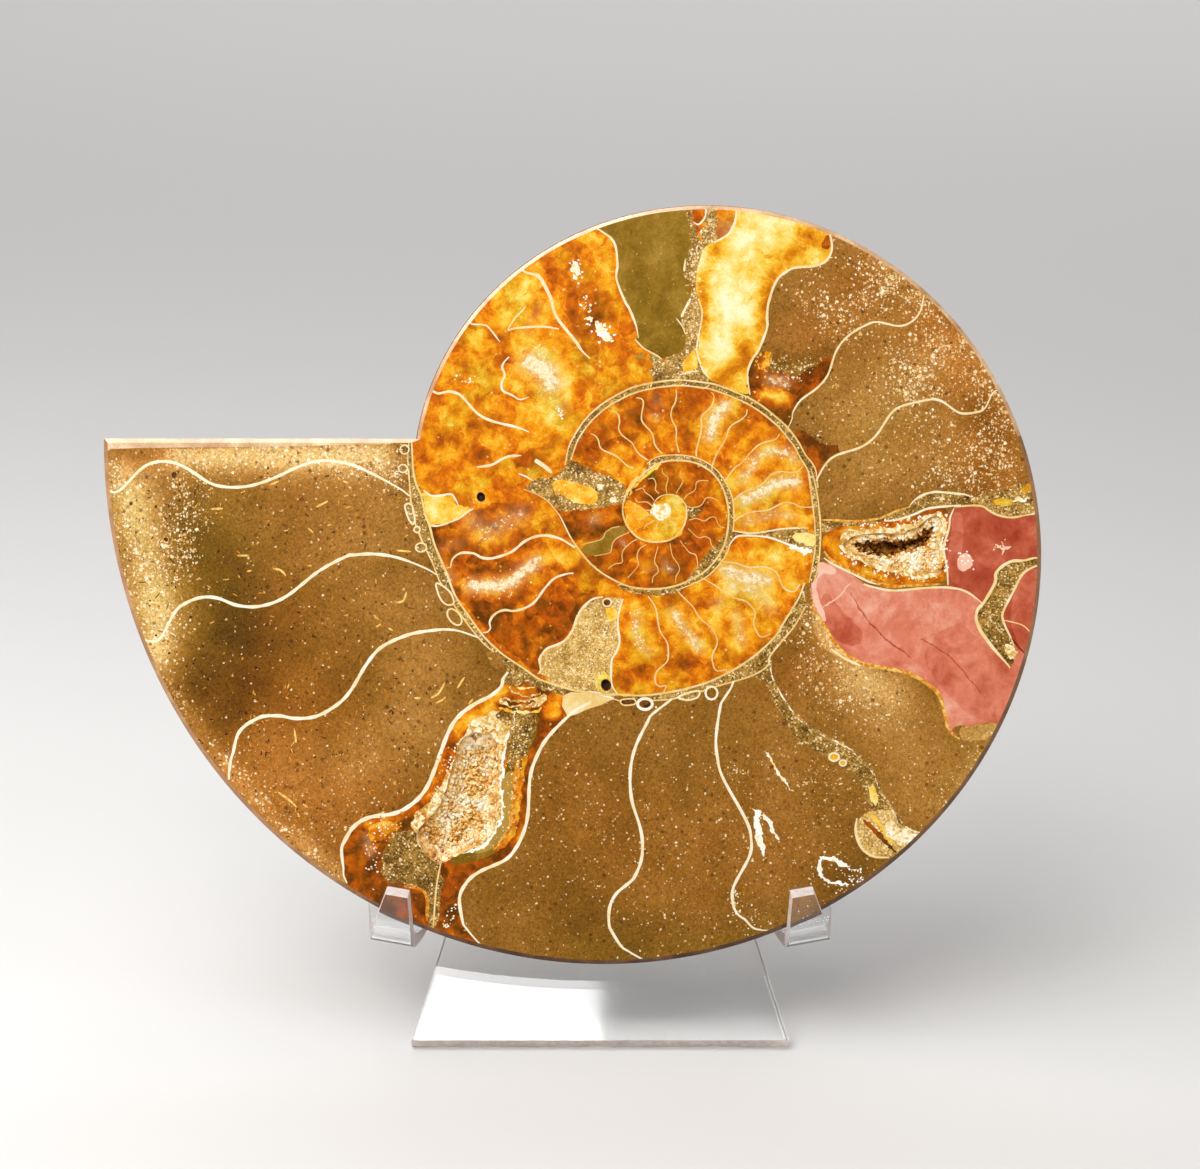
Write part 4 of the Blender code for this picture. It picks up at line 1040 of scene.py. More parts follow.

# %% [markdown]
# ## Soft glows inside the crystal
#
# Calcite is clear in places and milky in others, and the light that enters it comes back golden where it
# is thin. These changes are soft, so they are not patches. They are values on the mesh's points, made from
# strokes with a soft edge, and the materials turn them into colour: "glow" lightens the shade, "cloud"
# turns it milky, and in the sediment "grain" makes its pale grains more crowded.

# %% Glow and cloud strokes
GLOW = """
3.6 .5 -260,306 30,-26 20,-40; 2.6 .2 -300,380 40,60; 3.2 -.26 -140,130 60,50 80,30 80,14; 2.2 -.22 170,204 50,-34
44,-50; 3 .2 -360,270 80,-30; 3.2 -.05 -470,220 30,-80 -20,-40; 3 -.2 -440,-60 40,-40; 2.6 -.12 -420,320 40,-40; 3
-.15 -180,520 20,-40; 2.6 .15 -200,420 -20,-20; 2.4 .18 -400,300 60,60 60,60 80,100; 2 .2 -140,520 20,-60; 1.8 .15
-440,180 80,-50 80,-10; 2.6 .3 -240,180 40,-20; 2.2 -.3 -380,150 20,-40; 2.2 -.15 -300,80 40,20; 2 -.3 -340,330
20,-50; 2.6 -.25 -160,440 40,-60; 2.6 -.25 -240,500 40,-40; 2.2 -.2 -180,380 40,-40; 1.8 .35 -380,-40 40,-30 40,30
50,20; 1.2 .2 -460,-80 30,-40; 2 .45 -380,-160 80,10 50,40 40,15; 1.8 -.3 -360,-200 20,-30; 2.6 -.2 -280,-240 60,10
40,20; 1.4 -.25 -340,-120 60,0; 1.8 -.1 -260,-270 40,-30; 1.6 -.3 -300,10 40,-10; 1.2 .15 -300,-230 50,60; 2.2 .5
130,205 -26,-25 -5,-36; 1.2 .12 -10,200 -10,-25; 1.4 .15 -80,120 -30,-30; 1.6 -.12 -150,120 30,30; 1.6 -.15 -50,180
-10,-30; 1.8 -.1 55,210 -5,-80; 1.6 -.1 160,140 -30,-30 -10,-20; 1.4 .1 200,170 40,-20; 1.9 .35 150,50 30,30 30,30
40,0 20,-20; 1.8 .45 160,15 40,15 30,20 40,0; 1.6 .2 160,-30 60,10 50,10; 2 .3 170,-90 50,-10 40,0; 2.2 .5 130,-130
40,-10 40,0; 2 .35 140,-170 40,10 40,-30; 1.8 .15 250,-130 10,-70; 1.6 .3 120,-200 -30,-20; 1.6 .35 150,-210 6,-30
4,-30; 1.6 -.2 200,-280 -50,-30; 1.8 .4 25,-210 20,-30 25,-30; 1.6 -.25 40,-310 40,0; 1.6 -.1 10,-190 10,10; 1.8 .35
-46,-200 -6,-45 12,-35; 1.8 -.25 -60,-330 30,10; 2.2 -.06 -120,-120 80,-20 60,10 70,70 10,60; 1.8 -.12 60,-50 30,-30;
1.8 -.08 80,20 20,-30; 1 .25 120,-60 -30,-50; 1 .25 -40,-150 80,4; .9 .25 110,30 20,-50; 1.6 -.3 290,536 -44,-40
-30,-42 -10,-54 -2,-60; 1.6 -.15 120,580 10,-80; 1.3 -.35 110,520 -20,-60 0,-60 0,-60; 2 -.22 280,560 50,-40; 1.8 -.45
140,280 -20,-20; 1.6 -.4 160,340 10,-50; 3 -.1 -600,-740 40,-60; 1.3 .75 -314,-364 -36,-36 -60,-40; .8 .3 -434,-480
-26,-90 -60,-46 -70,-18; 1.4 .7 -204,-376 -10,-34; .9 .5 -266,-620 -18,-40; 1.2 .85 206,228 24,-2 20,-8; 1.1 -.12
186,290 0,-30 6,-16; 1.5 -.15 330,286 -30,-26 -24,-30 -26,-34; 1.2 -.12 290,140 40,-24; 1 .1 306,106 14,-16; .8 .4
334,-64 20,-30 36,-26 50,-20; .6 .35 334,-56 46,14 60,4;
"""
CLOUD = """
2.2 1.1 -260,290 30,-16 10,-24; 1.7 .5 -380,-24 30,-26 30,16 40,22; 1.3 1.1 -380,-156 50,0 30,6 25,25 25,17; .9 .2
-440,-80 40,10; 1 .4 -450,-110 30,-30; 1.3 1 130,205 -26,-25 -5,-36; .7 .7 -14,184 6,-4; .8 .4 -6,210 -6,10; 1 .75
160,56 20,24 16,26 24,10 34,-6 16,-14; 1.2 1 165,14 35,16 30,20 40,2; 1 .6 170,-26 60,16 30,-6; 1.5 .9 130,-124 40,-12
40,-8; 1 .5 140,-156 40,-8; 1.2 .5 190,-170 30,-30; .9 .6 120,-185 -10,-10; 1 .8 25,-210 20,-30 25,-30 6,-10; .9 .6
150,-210 6,-30 4,-30; .8 .6 -46,-210 -6,-35 12,-30 16,-15; .9 .7 -135,-24 5,4; .4 .6 -78,-70 4,-6; .5 .5 5,-105
11,-19; .5 .2 -35,-124 67,0; 3.4 .7 140,500 0,-100 -20,-70; 2.6 .45 200,570 60,0; 1.8 .4 130,560 40,-20; .8 .4 100,470
-6,-110; .7 .8 -590,-660 10,-30; 1.4 .5 -470,-630 30,-30 20,20; .8 .3 -306,-460 8,-90 -8,-90 -54,-50; 1 .5 -200,196
4,10; .6 .3 -240,406 -30,-56; 1 .85 218,256 32,-4;
"""
GRAIN = """
1.6 1 -1100,90 20,-40; 3.4 1.2 -980,110 400,-10; 5.5 1.2 -1080,20 60,-120 10,-140; 4 .9 -940,40 -10,-140; 4 1.2
-600,100 60,-20 20,-30; 2.6 .5 -1020,-280 100,-180 140,-160 160,-140; 7 .2 -800,-520 180,-100 60,120; 12 .14 -200,-600
200,-100 200,100 160,-20; 5 .75 300,-220 60,-100 80,-80; 5 .35 580,-600 80,100 60,120; 4 .5 340,-380 -40,40; 5.5 .8
660,20 20,140 -40,140 -100,120 -100,80; 6 .9 480,240 60,60; 6 .45 560,100 -40,160 -80,60; 4 .85 300,440 60,-60 80,60;
4 .7 600,80 60,60; 4 1 -140,-220 20,-100; 3 .25 460,60 -60,-20 160,10; 3 .2 360,200 -60,100;
"""
TONE = """
4 -.2 640,40 30,100 -30,60; 1.6 -.2 200,300 60,-10 70,20; 9 -.22 -960,-80 120,-60; 9 -.28 -920,-340 80,80 -20,-140; 7
.2 -620,20 60,-40 -40,-40; 8 .1 -800,-60 80,-80; 6 .2 -560,-180 60,-20; 6 .08 -760,0 60,20; 8 -.06 -740,-280 80,0; 8
.28 -800,-500 140,-60 160,120 20,100; 6 .1 -700,-680 100,-100; 3 .1 -1090,90 80,10; 4 .75 -960,104 400,0; 6 .75
-1060,40 40,-160 20,-140; 2.4 .35 -1010,-300 90,-160 140,-160 140,-120; 9 -.02 -180,-460 -20,-160 -40,-140; 6 -.15
-140,-820 140,-60; 8 .06 20,-440 40,-160 -20,-160; 8 .12 240,-460 20,-140 -20,-140; 6 -.12 300,-780 100,40; 9 .25
400,-380 100,-100 100,-40; 5 .45 340,-240 40,-80 80,-40; 5 .3 640,-560 80,120; 4 .15 500,-580 60,-40; 9 .34 460,260
-60,-60 160,100; 8 .12 340,420 -60,-60 180,80; 5 .3 400,560 120,-100; 6 .22 600,120 -160,-40 -80,-40; 4 .2 680,40
20,120 -40,120; 4 .3 -140,-240 20,-100;
"""

WARM = """
12 .9 -720,-420 -120,-140 240,-60; 7 1.2 660,20 0,220 -100,120; 7 .2 -620,20 -120,40 40,-140; 6 -.5 -1080,40 60,-200;
3 .7 -1080,90 70,10; 8 .7 300,340 100,100; 9 -.9 -900,-60 0,-180; 6 -.4 440,180 -60,-80; 14 .4 -200,-600 200,-100
200,40; 5 -.8 -140,-880 240,-20 140,40; 6 .5 240,-340 60,40; 8 .6 -860,-360 80,140; 4 -.8 220,240 80,20; 7 -.4
600,-540 60,100; 4 .6 -140,-240 20,-100;
"""


def soft_field(points, strokes):
    """The sum of soft strokes at every point: each row is a half width, a strength and the stroke's points."""
    total = np.zeros(len(points))
    for half, strength, knots in rows(strokes):
        knots = np.array(knots)
        nearest = np.full(len(points), 1e9)
        for start, end in zip(knots, knots[1:]):
            along = end - start
            place = np.clip(((points - start) @ along) / max(along @ along, 1e-9), 0, 1)
            away = points - start - place[:, None] * along
            nearest = np.minimum(nearest, (away**2).sum(axis=1))
        total += strength * np.exp(-nearest / half**2)
    return total


walls = (*SEPTA.values(), *RING_SEPTA, *INNER_SEPTA, WALL_LEFT_IN, WALL_LOW_IN, WALL_TOP_IN, WALL_TOP_OUT,
         SECOND_LOOP, LOOP_OUT, WALL_RIGHT)
wall_points = np.vstack([smooth(points, 0.5) for points in walls])
tree_of_walls = KDTree(len(wall_points))
for i, (u, v) in enumerate(wall_points):
    tree_of_walls.insert((u, v, 0), i)
tree_of_walls.balance()
STROKES = {"glow": GLOW, "cloud": CLOUD, "grain": GRAIN, "tone": TONE, "warm": WARM}
fields = {name: soft_field(face_points, strokes) for name, strokes in STROKES.items()}
fields["wall_distance"] = [tree_of_walls.find((u, v, 0))[2] for u, v in face_points]
print("glow from", round(fields["glow"].min(), 2), "to", round(fields["glow"].max(), 2))

# %% [markdown]
# ## Finishes of the stone
#
# All finishes share two groups of nodes. "Stone texture" gives fine grain, broader patches and crystal
# facets at true size. "Bright specks" gives scattered pale grains, more where a mask asks for them. Each
# material then turns these into its own colours. The polish is the same on all: a low roughness, a thin
# clear coat, and hardly any relief, because the saw and the lap made the face flat.

# %% Texture groups
def make_group(name, inputs, outputs):
    """Begins a node group. An input is given with its usual size in millimetres, or with None for a place."""
    global tree
    tree = bpy.data.node_groups.new(name, "ShaderNodeTree")
    for socket_name, value in inputs.items():
        kind = "NodeSocketVector" if value is None else "NodeSocketFloat"
        socket = tree.interface.new_socket(socket_name, in_out="INPUT", socket_type=kind)
        if value is not None:
            socket.default_value = value
    for socket_name in outputs:
        tree.interface.new_socket(socket_name, in_out="OUTPUT", socket_type="NodeSocketFloat")
    return tree, tree.nodes.new("NodeGroupInput").outputs, tree.nodes.new("NodeGroupOutput").inputs


def swayed(place, scale, reach):
    """Texture space pushed about by soft noise, so that crystals and specks get uneven outlines."""
    sway = add("TexNoise", Vector=place, Scale=scale, Detail=2.0)
    centred = add("VectorMath", operation="SUBTRACT", Vector=sway.outputs["Color"])
    centred.inputs[1].default_value = (0.5, 0.5, 0.5)
    pushed = add("VectorMath", operation="MULTIPLY_ADD", Vector=centred.outputs[0])
    pushed.inputs[1].default_value = (reach, reach, reach)
    feed(pushed.inputs[2], place)
    return pushed.outputs[0]


texture_group, given, result = make_group(
    "Stone texture",
    {"Place": None, "Grain Size": 0.35, "Patch Size": 7.0, "Facet Size": 0.9},
    ("Grain", "Patch", "Veins", "Facets", "Facet Edge"),
)
uneven_place = swayed(given["Place"], 0.9, 1.1)
patch_scale = math(1.0, "/", given["Patch Size"])
facet_scale = math(1.0, "/", given["Facet Size"])
fine = clouds(given["Place"], math(1.0, "/", given["Grain Size"]), 3.0, 0.65)
broad = clouds(uneven_place, patch_scale, 4.0, 0.55, 0.4)
veined = clouds(given["Place"], math(patch_scale, "*", 2.2), 4.0, 0.55, 1.2)
from_vein = math(veined, "-", 0.5, "ABSOLUTE", 0.0, "*", 14.0)
facet = add("TexVoronoi", Vector=uneven_place, Scale=facet_scale)
facet_edge = add("TexVoronoi", Vector=uneven_place, Scale=facet_scale, feature="DISTANCE_TO_EDGE")
facet_grey = add("SeparateColor", Color=facet.outputs["Color"])
feed(result["Grain"], fine)
feed(result["Patch"], broad)
feed(result["Veins"], math(1.0, "-", from_vein, clamp=True))
feed(result["Facets"], facet_grey.outputs[0])
feed(result["Facet Edge"], facet_edge.outputs[0])

speck_group, given, result = make_group(
    "Bright specks", {"Place": None, "Spacing": 1.6, "Share": 0.2, "Size": 0.3}, ("Mask", "Tint")
)
uneven_place = swayed(given["Place"], 2.2, 0.5)
cells = add("TexVoronoi", Vector=uneven_place, Scale=math(1.0, "/", given["Spacing"])).outputs
parts = add("SeparateColor", Color=cells["Color"]).outputs
chosen = math(parts[0], "<", given["Share"])
own_size = math(parts[1], "*", 1.1, "+", 0.45, "*", given["Size"])
spot = math(1.0, "-", math(cells["Distance"], "/", own_size), clamp=True)
feed(result["Mask"], math(chosen, "*", math(spot, "*", 3.0, clamp=True)))
feed(result["Tint"], parts[2])
print("groups:", texture_group.name, "and", speck_group.name)


# %% Helpers for the finishes
STONE = {}


def begin(name, grain, patch, facet):
    """A new finish, its texture space and the shared textures at these sizes in millimetres."""
    made = new_material(name)
    place = face_space()
    look = add("Group", node_tree=texture_group, Place=place, Grain_Size=grain, Patch_Size=patch, Facet_Size=facet)
    return made, place, look.outputs


def stored(name):
    """A value that the mesh carries at its points or faces."""
    return add("Attribute", attribute_name=name).outputs["Fac"]


def total(*terms):
    """A sum held between 0 and 1. A term is a value, its weight and perhaps a middle to swing round. A value
    may be named: the shared textures have capital letters, and the others are carried by the mesh."""
    result = 0.0
    for value, weight, *middle in terms:
        if isinstance(value, str):
            value = look[value] if value in look else stored(value)
        if middle:
            value = math(value, "-", middle[0])
        result = math(result, "+", math(value, "*", weight))
    return math(result, "+", 0.0, clamp=True)


def shaded(colour, grey):
    """A colour darkened or lightened by a grey value round 1."""
    return mix(1.0, colour, add("CombineColor", Red=grey, Green=grey, Blue=grey).outputs[0], "MULTIPLY")


def dusted(colour, spacing, share, size, strength, dark_and_light):
    """Strews specks over a colour, each of its own shade between two."""
    specks = add("Group", node_tree=speck_group, Place=place, Spacing=spacing, Share=share, Size=size).outputs
    return mix(math(specks["Mask"], "*", strength), colour, mix(specks["Tint"], *shades(dark_and_light)))


def polish(colour, roughness=0.2, bumps=None, relief=0.0, coat=0.5):
    """The polished stone's shader: colour, and a soft gloss under a thin clear coat."""
    shader = add("BsdfPrincipled", Base_Color=colour, Roughness=roughness, Coat_Weight=coat, Coat_Roughness=0.05)
    if bumps:
        bump = add("Bump", Height=look[bumps], Strength=1.0, Distance=relief * MM)
        feed(shader.inputs["Normal"], bump.outputs[0])
    add("OutputMaterial", Surface=shader.outputs[0])


print("textures to choose from:", [socket.name for socket in texture_group.interface.items_tree][:5])

# %% Sediment
STONE["sediment"], place, look = begin("sediment", 0.42, 9.0, 0.55)
value = total(("tone", 0.7), ("Patch", 0.4, 0.5), ("fill", 0.63, -0.18))
earth = ramp(value, "0 58,38,10; .22 104,68,14; .42 141,95,29; .62 170,118,50; .82 202,152,82; 1 234,194,120")
fibre = clouds(place, 1.0, 4.0, 0.65, 2.2)
earth = shaded(earth, math(look["Grain"], "*", 1.9, "+", math(fibre, "*", 1.3), "-", 0.62))
hue = math(stored("warm"), "+", 1.0, "*", 0.5, clamp=True)
tints = ramp(hue, ((0.0, (0.88, 1.0, 0.8)), (0.5, (1.0, 1.0, 1.0)), (1.0, (1.12, 0.9, 0.74))))
earth = mix(1.0, earth, tints, "MULTIPLY")
flock = clouds(place, 0.16, 3.0, 0.6)
crowd = math(stored("grain"), "*", math(flock, "*", 3.0, "-", 0.6))
for spacing, share, size, strength, colours in (
    (1.2, 0.34, 0.26, 0.75, "76,40,6 116,72,18"),
    (0.45, total((crowd, 0.55), (0.035, 1.0)), 0.44, 0.9, "212,162,84 252,236,190"),
    (0.66, total((crowd, 0.66, 0.28)), 0.5, 0.95, "226,176,92 255,244,208"),
    (1.25, 0.05, 0.16, 0.9, "228,186,112 250,232,188"),
    (0.9, total((crowd, 0.16)), 0.3, 0.8, "92,50,10 196,120,24"),
):
    earth = dusted(earth, spacing, share, size, strength, colours)
polish(earth, 0.18, "Grain", 0.015, 0.3)
print("sediment has", len(tree.nodes), "nodes")

# %% Amber calcite
STONE["amber"], place, look = begin("amber_calcite", 0.4, 5.5, 1.2)
shard_place = swayed(place, 0.35, 2.4)
shard = add("TexVoronoi", Vector=shard_place, Scale=0.3)
shard_edge = add("TexVoronoi", Vector=shard_place, Scale=0.3, feature="DISTANCE_TO_EDGE")
shard_shade = add("SeparateColor", Color=shard.outputs["Color"]).outputs[0]
crackle = math(1.0, "-", math(shard_edge.outputs["Distance"], "*", 26.0), clamp=True)
turn = clouds(shard_place, 0.13, 3.0, 0.6)
fine_crackle = math(crackle, "*", total((turn, 3.0, 0.45)))
mottle = clouds(shard_place, 0.34, 6.0, 0.6)
near_wall = math(1.0, "-", math(stored("wall_distance"), "/", 1.5), clamp=True)
value = total(
    ("fill", 1.0), ("glow", 0.7), (mottle, 1.15, 0.48), (shard_shade, 0.18, 0.5), ("Facets", 0.1, 0.5),
    (near_wall, -0.06), (fine_crackle, 0.2),
)
honey = ramp(value, "0 98,50,2; .12 128,66,4; .26 178,84,6; .4 208,112,8; .5 228,140,12; .62 240,168,28; "
                    ".78 249,202,72; 1 254,232,150")
honey = shaded(honey, math(look["Grain"], "*", 0.9, "+", 0.55))
tints = ramp(turn, ((0.36, (0.84, 0.94, 0.9)), (0.48, (1.0, 1.0, 1.0)), (0.62, (1.03, 0.88, 0.7))))
honey = mix(1.0, honey, tints, "MULTIPLY")
smoke = clouds(shard_place, 0.24, 5.0, 0.62)
smoky = total((smoke, -6.0, 0.41), ("fill", -0.6, 0.45), ("glow", -1.5))
honey = mix(math(smoky, "*", 0.6), honey, srgb(128, 76, 8))
honey = mix(math(stored("cloud"), "*", 0.75, clamp=True), honey, srgb(204, 158, 104))
milk = total((clouds(place, 0.9, 5.0, 0.65), 6.0, 0.72), ("cloud", 2.4))
honey = mix(math(milk, "*", 0.9), honey, ramp(look["Grain"], ".35 246,210,140; .6 255,248,220"))
polish(dusted(honey, 0.9, 0.14, 0.22, 0.5, "250,190,80 255,228,150"), 0.12, "Facets", 0.008, 0.7)
print("amber has", len(tree.nodes), "nodes")

# %% Pale calcite, olive calcite and jasper
STONE["pale_calcite"], place, look = begin("pale_calcite", 0.4, 4.0, 1.4)
fan = clouds(swayed(place, 0.2, 6.0), 0.7, 5.0, 0.7, 1.5)
value = total(
    ("fill", 1.0), ("glow", 1.0), ("cloud", 0.42), ("Patch", 0.9, 0.5), ("Facets", 0.15, 0.5), ("Grain", 0.3, 0.5),
    (fan, 0.5, 0.5),
)
cream = ramp(value, "0 176,88,4; .25 228,146,14; .45 242,196,58; .7 251,232,156; 1 255,250,224")
polish(cream, 0.12, "Facets", 0.01, 0.7)

STONE["olive_calcite"], place, look = begin("olive_calcite", 0.35, 5.0, 0.8)
value = total(("fill", 1.0), ("Patch", 1.2, 0.5), ("Grain", 0.5, 0.5), ("Veins", 0.12))
olive = ramp(value, "0 78,56,6; .3 116,86,12; .6 146,110,30; 1 180,142,62")
olive = dusted(olive, 0.8, 0.3, 0.2, 0.6, "190,150,70 226,200,130")
milk = total((clouds(place, 0.8, 5.0, 0.62), 6.0, 0.7), ("cloud", 3.0))
polish(mix(milk, olive, srgb(228, 204, 144)), 0.14, "Grain", 0.01, 0.6)

STONE["jasper"], place, look = begin("red_jasper", 0.5, 9.0, 1.5)
silk = clouds(swayed(place, 0.08, 9.0), 0.35, 6.0, 0.6)
value = total(("fill", 1.0), ("Patch", 0.8, 0.5), (silk, 0.7, 0.5), ("Grain", 0.2, 0.5))
polish(ramp(value, "0 150,50,26; .3 188,88,60; .6 222,130,102; 1 244,194,168"), 0.16, "Patch", 0.02, 0.6)
print("finishes so far:", ", ".join(STONE))

# %% Druse and dark grains
STONE["druse"], place, look = begin("druse", 0.3, 3.0, 0.3)
value = total(("Facets", 0.45), ("fill", 0.9, 0.3), ("Patch", 1.0, 0.45), ("Grain", 0.9, 0.5))
sugar = ramp(value, "0 70,44,8; .25 120,86,26; .55 178,134,58; 1 236,194,110")
share = total(("fill", 0.7), ("Patch", 1.2, 0.5))
sugar = dusted(sugar, 0.32, share, 0.6, 0.9, "214,164,76 255,240,196")
polish(sugar, 0.2, "Facet Edge", 0.03, 0.3)

STONE["dark_grain"], place, look = begin("dark_grain", 0.4, 2.0, 0.5)
value = math(look["Facets"], "*", stored("fill"), clamp=True)
polish(ramp(value, "0 50,26,6; .5 110,64,18; 1 156,92,30"), 0.25, None, 0.0, 0.2)
print("finishes so far:", ", ".join(STONE))

# %% Shell walls, bright grains, rim and hollow walls
FILL = ("fill", 1.0)
for name, label, sizes, terms, stops, gloss in (
    ("septum", "shell_wall", (0.35, 4.0, 0.5), (FILL, ("Patch", 0.9, 0.5), ("Grain", 0.5, 0.5)),
     "0 216,160,66; .4 238,206,132; .75 249,234,198; 1 254,248,232", (0.18,)),
    ("gold_line", "golden_grain", (0.5, 2.0, 0.6), (FILL, ("Facets", 0.7, 0.5), ("Grain", 0.4, 0.5)),
     "0 182,92,8; .5 222,146,36; 1 247,210,118", (0.2,)),
    ("white_crystal", "white_crystal", (0.3, 2.6, 0.6),
     (FILL, ("Facets", 0.7, 0.5), ("Patch", 1.0, 0.5), ("Grain", 0.5, 0.5)),
     "0 196,136,48; .3 236,200,122; .65 252,238,198; 1 255,253,244", (0.2, "Facet Edge", 0.04, 0.3)),
    ("bevel", "ground_rim", (0.3, 6.0, 0.8), (FILL, ("Patch", 0.9, 0.5), ("Grain", 0.4, 0.5)),
     "0 72,42,18; .3 130,86,50; .6 178,130,88; .85 216,178,136; 1 242,218,182", (0.42, "Grain", 0.02, 0.1)),
    ("pit_wall", "hollow_wall", (0.4, 3.0, 0.9), (FILL, ("Facets", 0.7, 0.5)),
     "0 60,26,6; .35 142,78,22; .65 224,170,84; 1 252,236,196", (0.3, "Facet Edge", 0.12, 0.2)),
):
    STONE[name], place, look = begin(label, *sizes)
    polish(ramp(total(*terms), stops), *gloss)
print("stone finishes:", ", ".join(STONE))


# %% The polished face as one piece
def hollow_rings(edge, depth, levels):
    """Rings of a hollow's wall below its edge, as (points, depth) from the face down."""
    middle = edge.mean(axis=0)
    return [(middle + (edge - middle) * share, depth * level) for level, share in levels]


vertices = [on_face(u, v) for u, v in face_points]
faces = [tuple(int(i) for i in triangle) for triangle in triangles]
face_finish = [int(i) for i in tri_finish]
face_fill = [float(x) for x in tri_fill]
lookup = {(round(u, 3), round(v, 3)): i for i, (u, v) in enumerate(face_points)}


def on_mesh(point):
    """The face mesh's vertex at an outline's point."""
    key = (round(point[0], 3), round(point[1], 3))
    if key in lookup:
        return lookup[key]
    return int(np.argmin(((face_points - point) ** 2).sum(axis=1)))


def add_band(lower, upper, finish, fills):
    count = len(lower)
    for i in range(count):
        j = (i + 1) % count
        faces.append((lower[i], lower[j], upper[j], upper[i]))
        face_finish.append(FINISHES.index(finish))
        face_fill.append(float(fills[i]))


plane_ring = [on_mesh(point) for point in plane_edge]
edge_ring = []
for u, v in outer_edge:
    edge_ring.append(len(vertices))
    vertices.append(on_face(u, v, RIM_DEPTH))
# The ground rim's fill by direction round the middle: partly the rim's own colour and partly painted light, with a
# painted highlight along the top and the mouth and painted shade along the underside.
RIM_COLOUR_AND_LIGHT = ((0, 0.45), (30, 0.45), (45, 0.7), (110, 0.7), (125, 0.3), (168, 0.3), (176, 0.6), (228, 0.6),
              (236, 0.12), (300, 0.12), (330, 0.2), (345, 0.45), (360, 0.45))
MOUTH_COLOUR_AND_LIGHT = 0.75
bevel_colour_and_light = []
for u, v in outer_edge:
    shade = np.interp(degrees(atan2(v, u)) % 360, *zip(*RIM_COLOUR_AND_LIGHT))
    bevel_colour_and_light.append(MOUTH_COLOUR_AND_LIGHT if v >= MOUTH_LEVEL else shade)
add_band(edge_ring, plane_ring, "bevel", bevel_colour_and_light)

LEVELS = ((0.3, 0.99), (0.65, 0.93), (1.0, 0.8))
luck = np.random.default_rng(8)
# The pits get the lowest fills, so their walls and floor are painted near black: painted shade in the holes. The
# hollows' walls take their own colours.
for edge_points, depth, darkest in (
    (hollow_edges["upper"], 3.2, 0.3), (hollow_edges["lower"], 2.0, 0.55), *((pit, 2.0, 0.0) for pit in pit_edges)
):
    ring = [on_mesh(point) for point in edge_points]
    for points, w in hollow_rings(edge_points, depth, LEVELS):
        below = []
        for u, v in points:
            below.append(len(vertices))
            shift = luck.uniform(-0.2, 0.2, 2)
            vertices.append(on_face(u + shift[0], v + shift[1], w))
        add_band(ring, below, "pit_wall", luck.uniform(darkest, darkest + 0.3, len(ring)))
        ring = below
    if len(ring) == PIT_CORNERS:
        faces.append(tuple(ring))
        face_finish.append(FINISHES.index("pit_wall"))
        face_fill.append(0.0)

face_mesh = bpy.data.meshes.new("ammonite_face")
face_mesh.from_pydata([tuple(vertex) for vertex in vertices], [], faces)
for name in FINISHES:
    face_mesh.materials.append(STONE[name])
face_mesh.polygons.foreach_set("material_index", face_finish)


def store_values(mesh, name, values, domain="POINT"):
    values = np.asarray(values, np.float32)
    room = len(mesh.vertices) if domain == "POINT" else len(mesh.polygons)
    padded = np.zeros(room, np.float32)
    padded[: len(values)] = values
    mesh.attributes.new(name, "FLOAT", domain).data.foreach_set("value", padded)


store_values(face_mesh, "fill", face_fill, "FACE")
for name, values in fields.items():
    store_values(face_mesh, name, values)
face_mesh.update()
face_piece = bpy.data.objects.new("ammonite_face", face_mesh)
bpy.context.scene.collection.objects.link(face_piece)
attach(face_piece, "root")
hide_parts("ammonite_half")
print("face piece:", len(face_mesh.polygons), "faces")

# %% [markdown]
# ## The rounded back
#
# Behind the polished plane the ammonite keeps its natural flank: it rises from the sharp rim, is thickest
# near the middle, and sinks into the umbilicus, where the older turn shows. The same spiral that drew
# the face gives every column of this surface, so the edges meet. Faint sickle-shaped ribs are real relief
# here, because they catch the light. The frilled suture lines are only colour on the real fossil, so they
# are made in the material.

# %% Flank shape
FLANK_DEPTH = 0.19
SEAM_SHARE = 0.2
SHOULDER_SHARE = 0.38
LENS_POWERS = (1.6, 0.8)
SHOULDER_POWER = 0.6
RIM_EDGE_SHARE = 0.6
CENTRE_DEPTH = 3.4
BACK_STEP = 1.25
BACK_COLUMNS = int(round(360 / BACK_STEP))
SKEW_COLUMNS = int(24 / BACK_STEP)
RIB_EVERY = 7.5
RIB_HEIGHT = 0.3
INNER_SHARES = [0.2, 0.206, 0.212, 0.223, 0.235, 0.252, 0.27, 0.304, 0.34]
OUTER_SHARES = [0.48, 0.51, 0.54, 0.57, 0.6, 0.63, 0.67, 0.71, 0.75, 0.79, 0.825, 0.86, 0.89, 0.915, 0.94, 0.955,
                0.97, 0.985]


def flank_shape(share):
    """How far the flank stands back at this share of the radius, as a share of its full depth."""
    if share >= SHOULDER_SHARE:
        fall = min(1.0, (share - SHOULDER_SHARE) / (1 - SHOULDER_SHARE))
        return (1 - fall ** LENS_POWERS[0]) ** LENS_POWERS[1]
    seam_level = flank_shape(SEAM_SHARE * TURN_GROWTH) / TURN_GROWTH
    rise = max(0.0, (share - SEAM_SHARE) / (SHOULDER_SHARE - SEAM_SHARE))
    return seam_level + (1 - seam_level) * sin(rise * pi / 2) ** SHOULDER_POWER


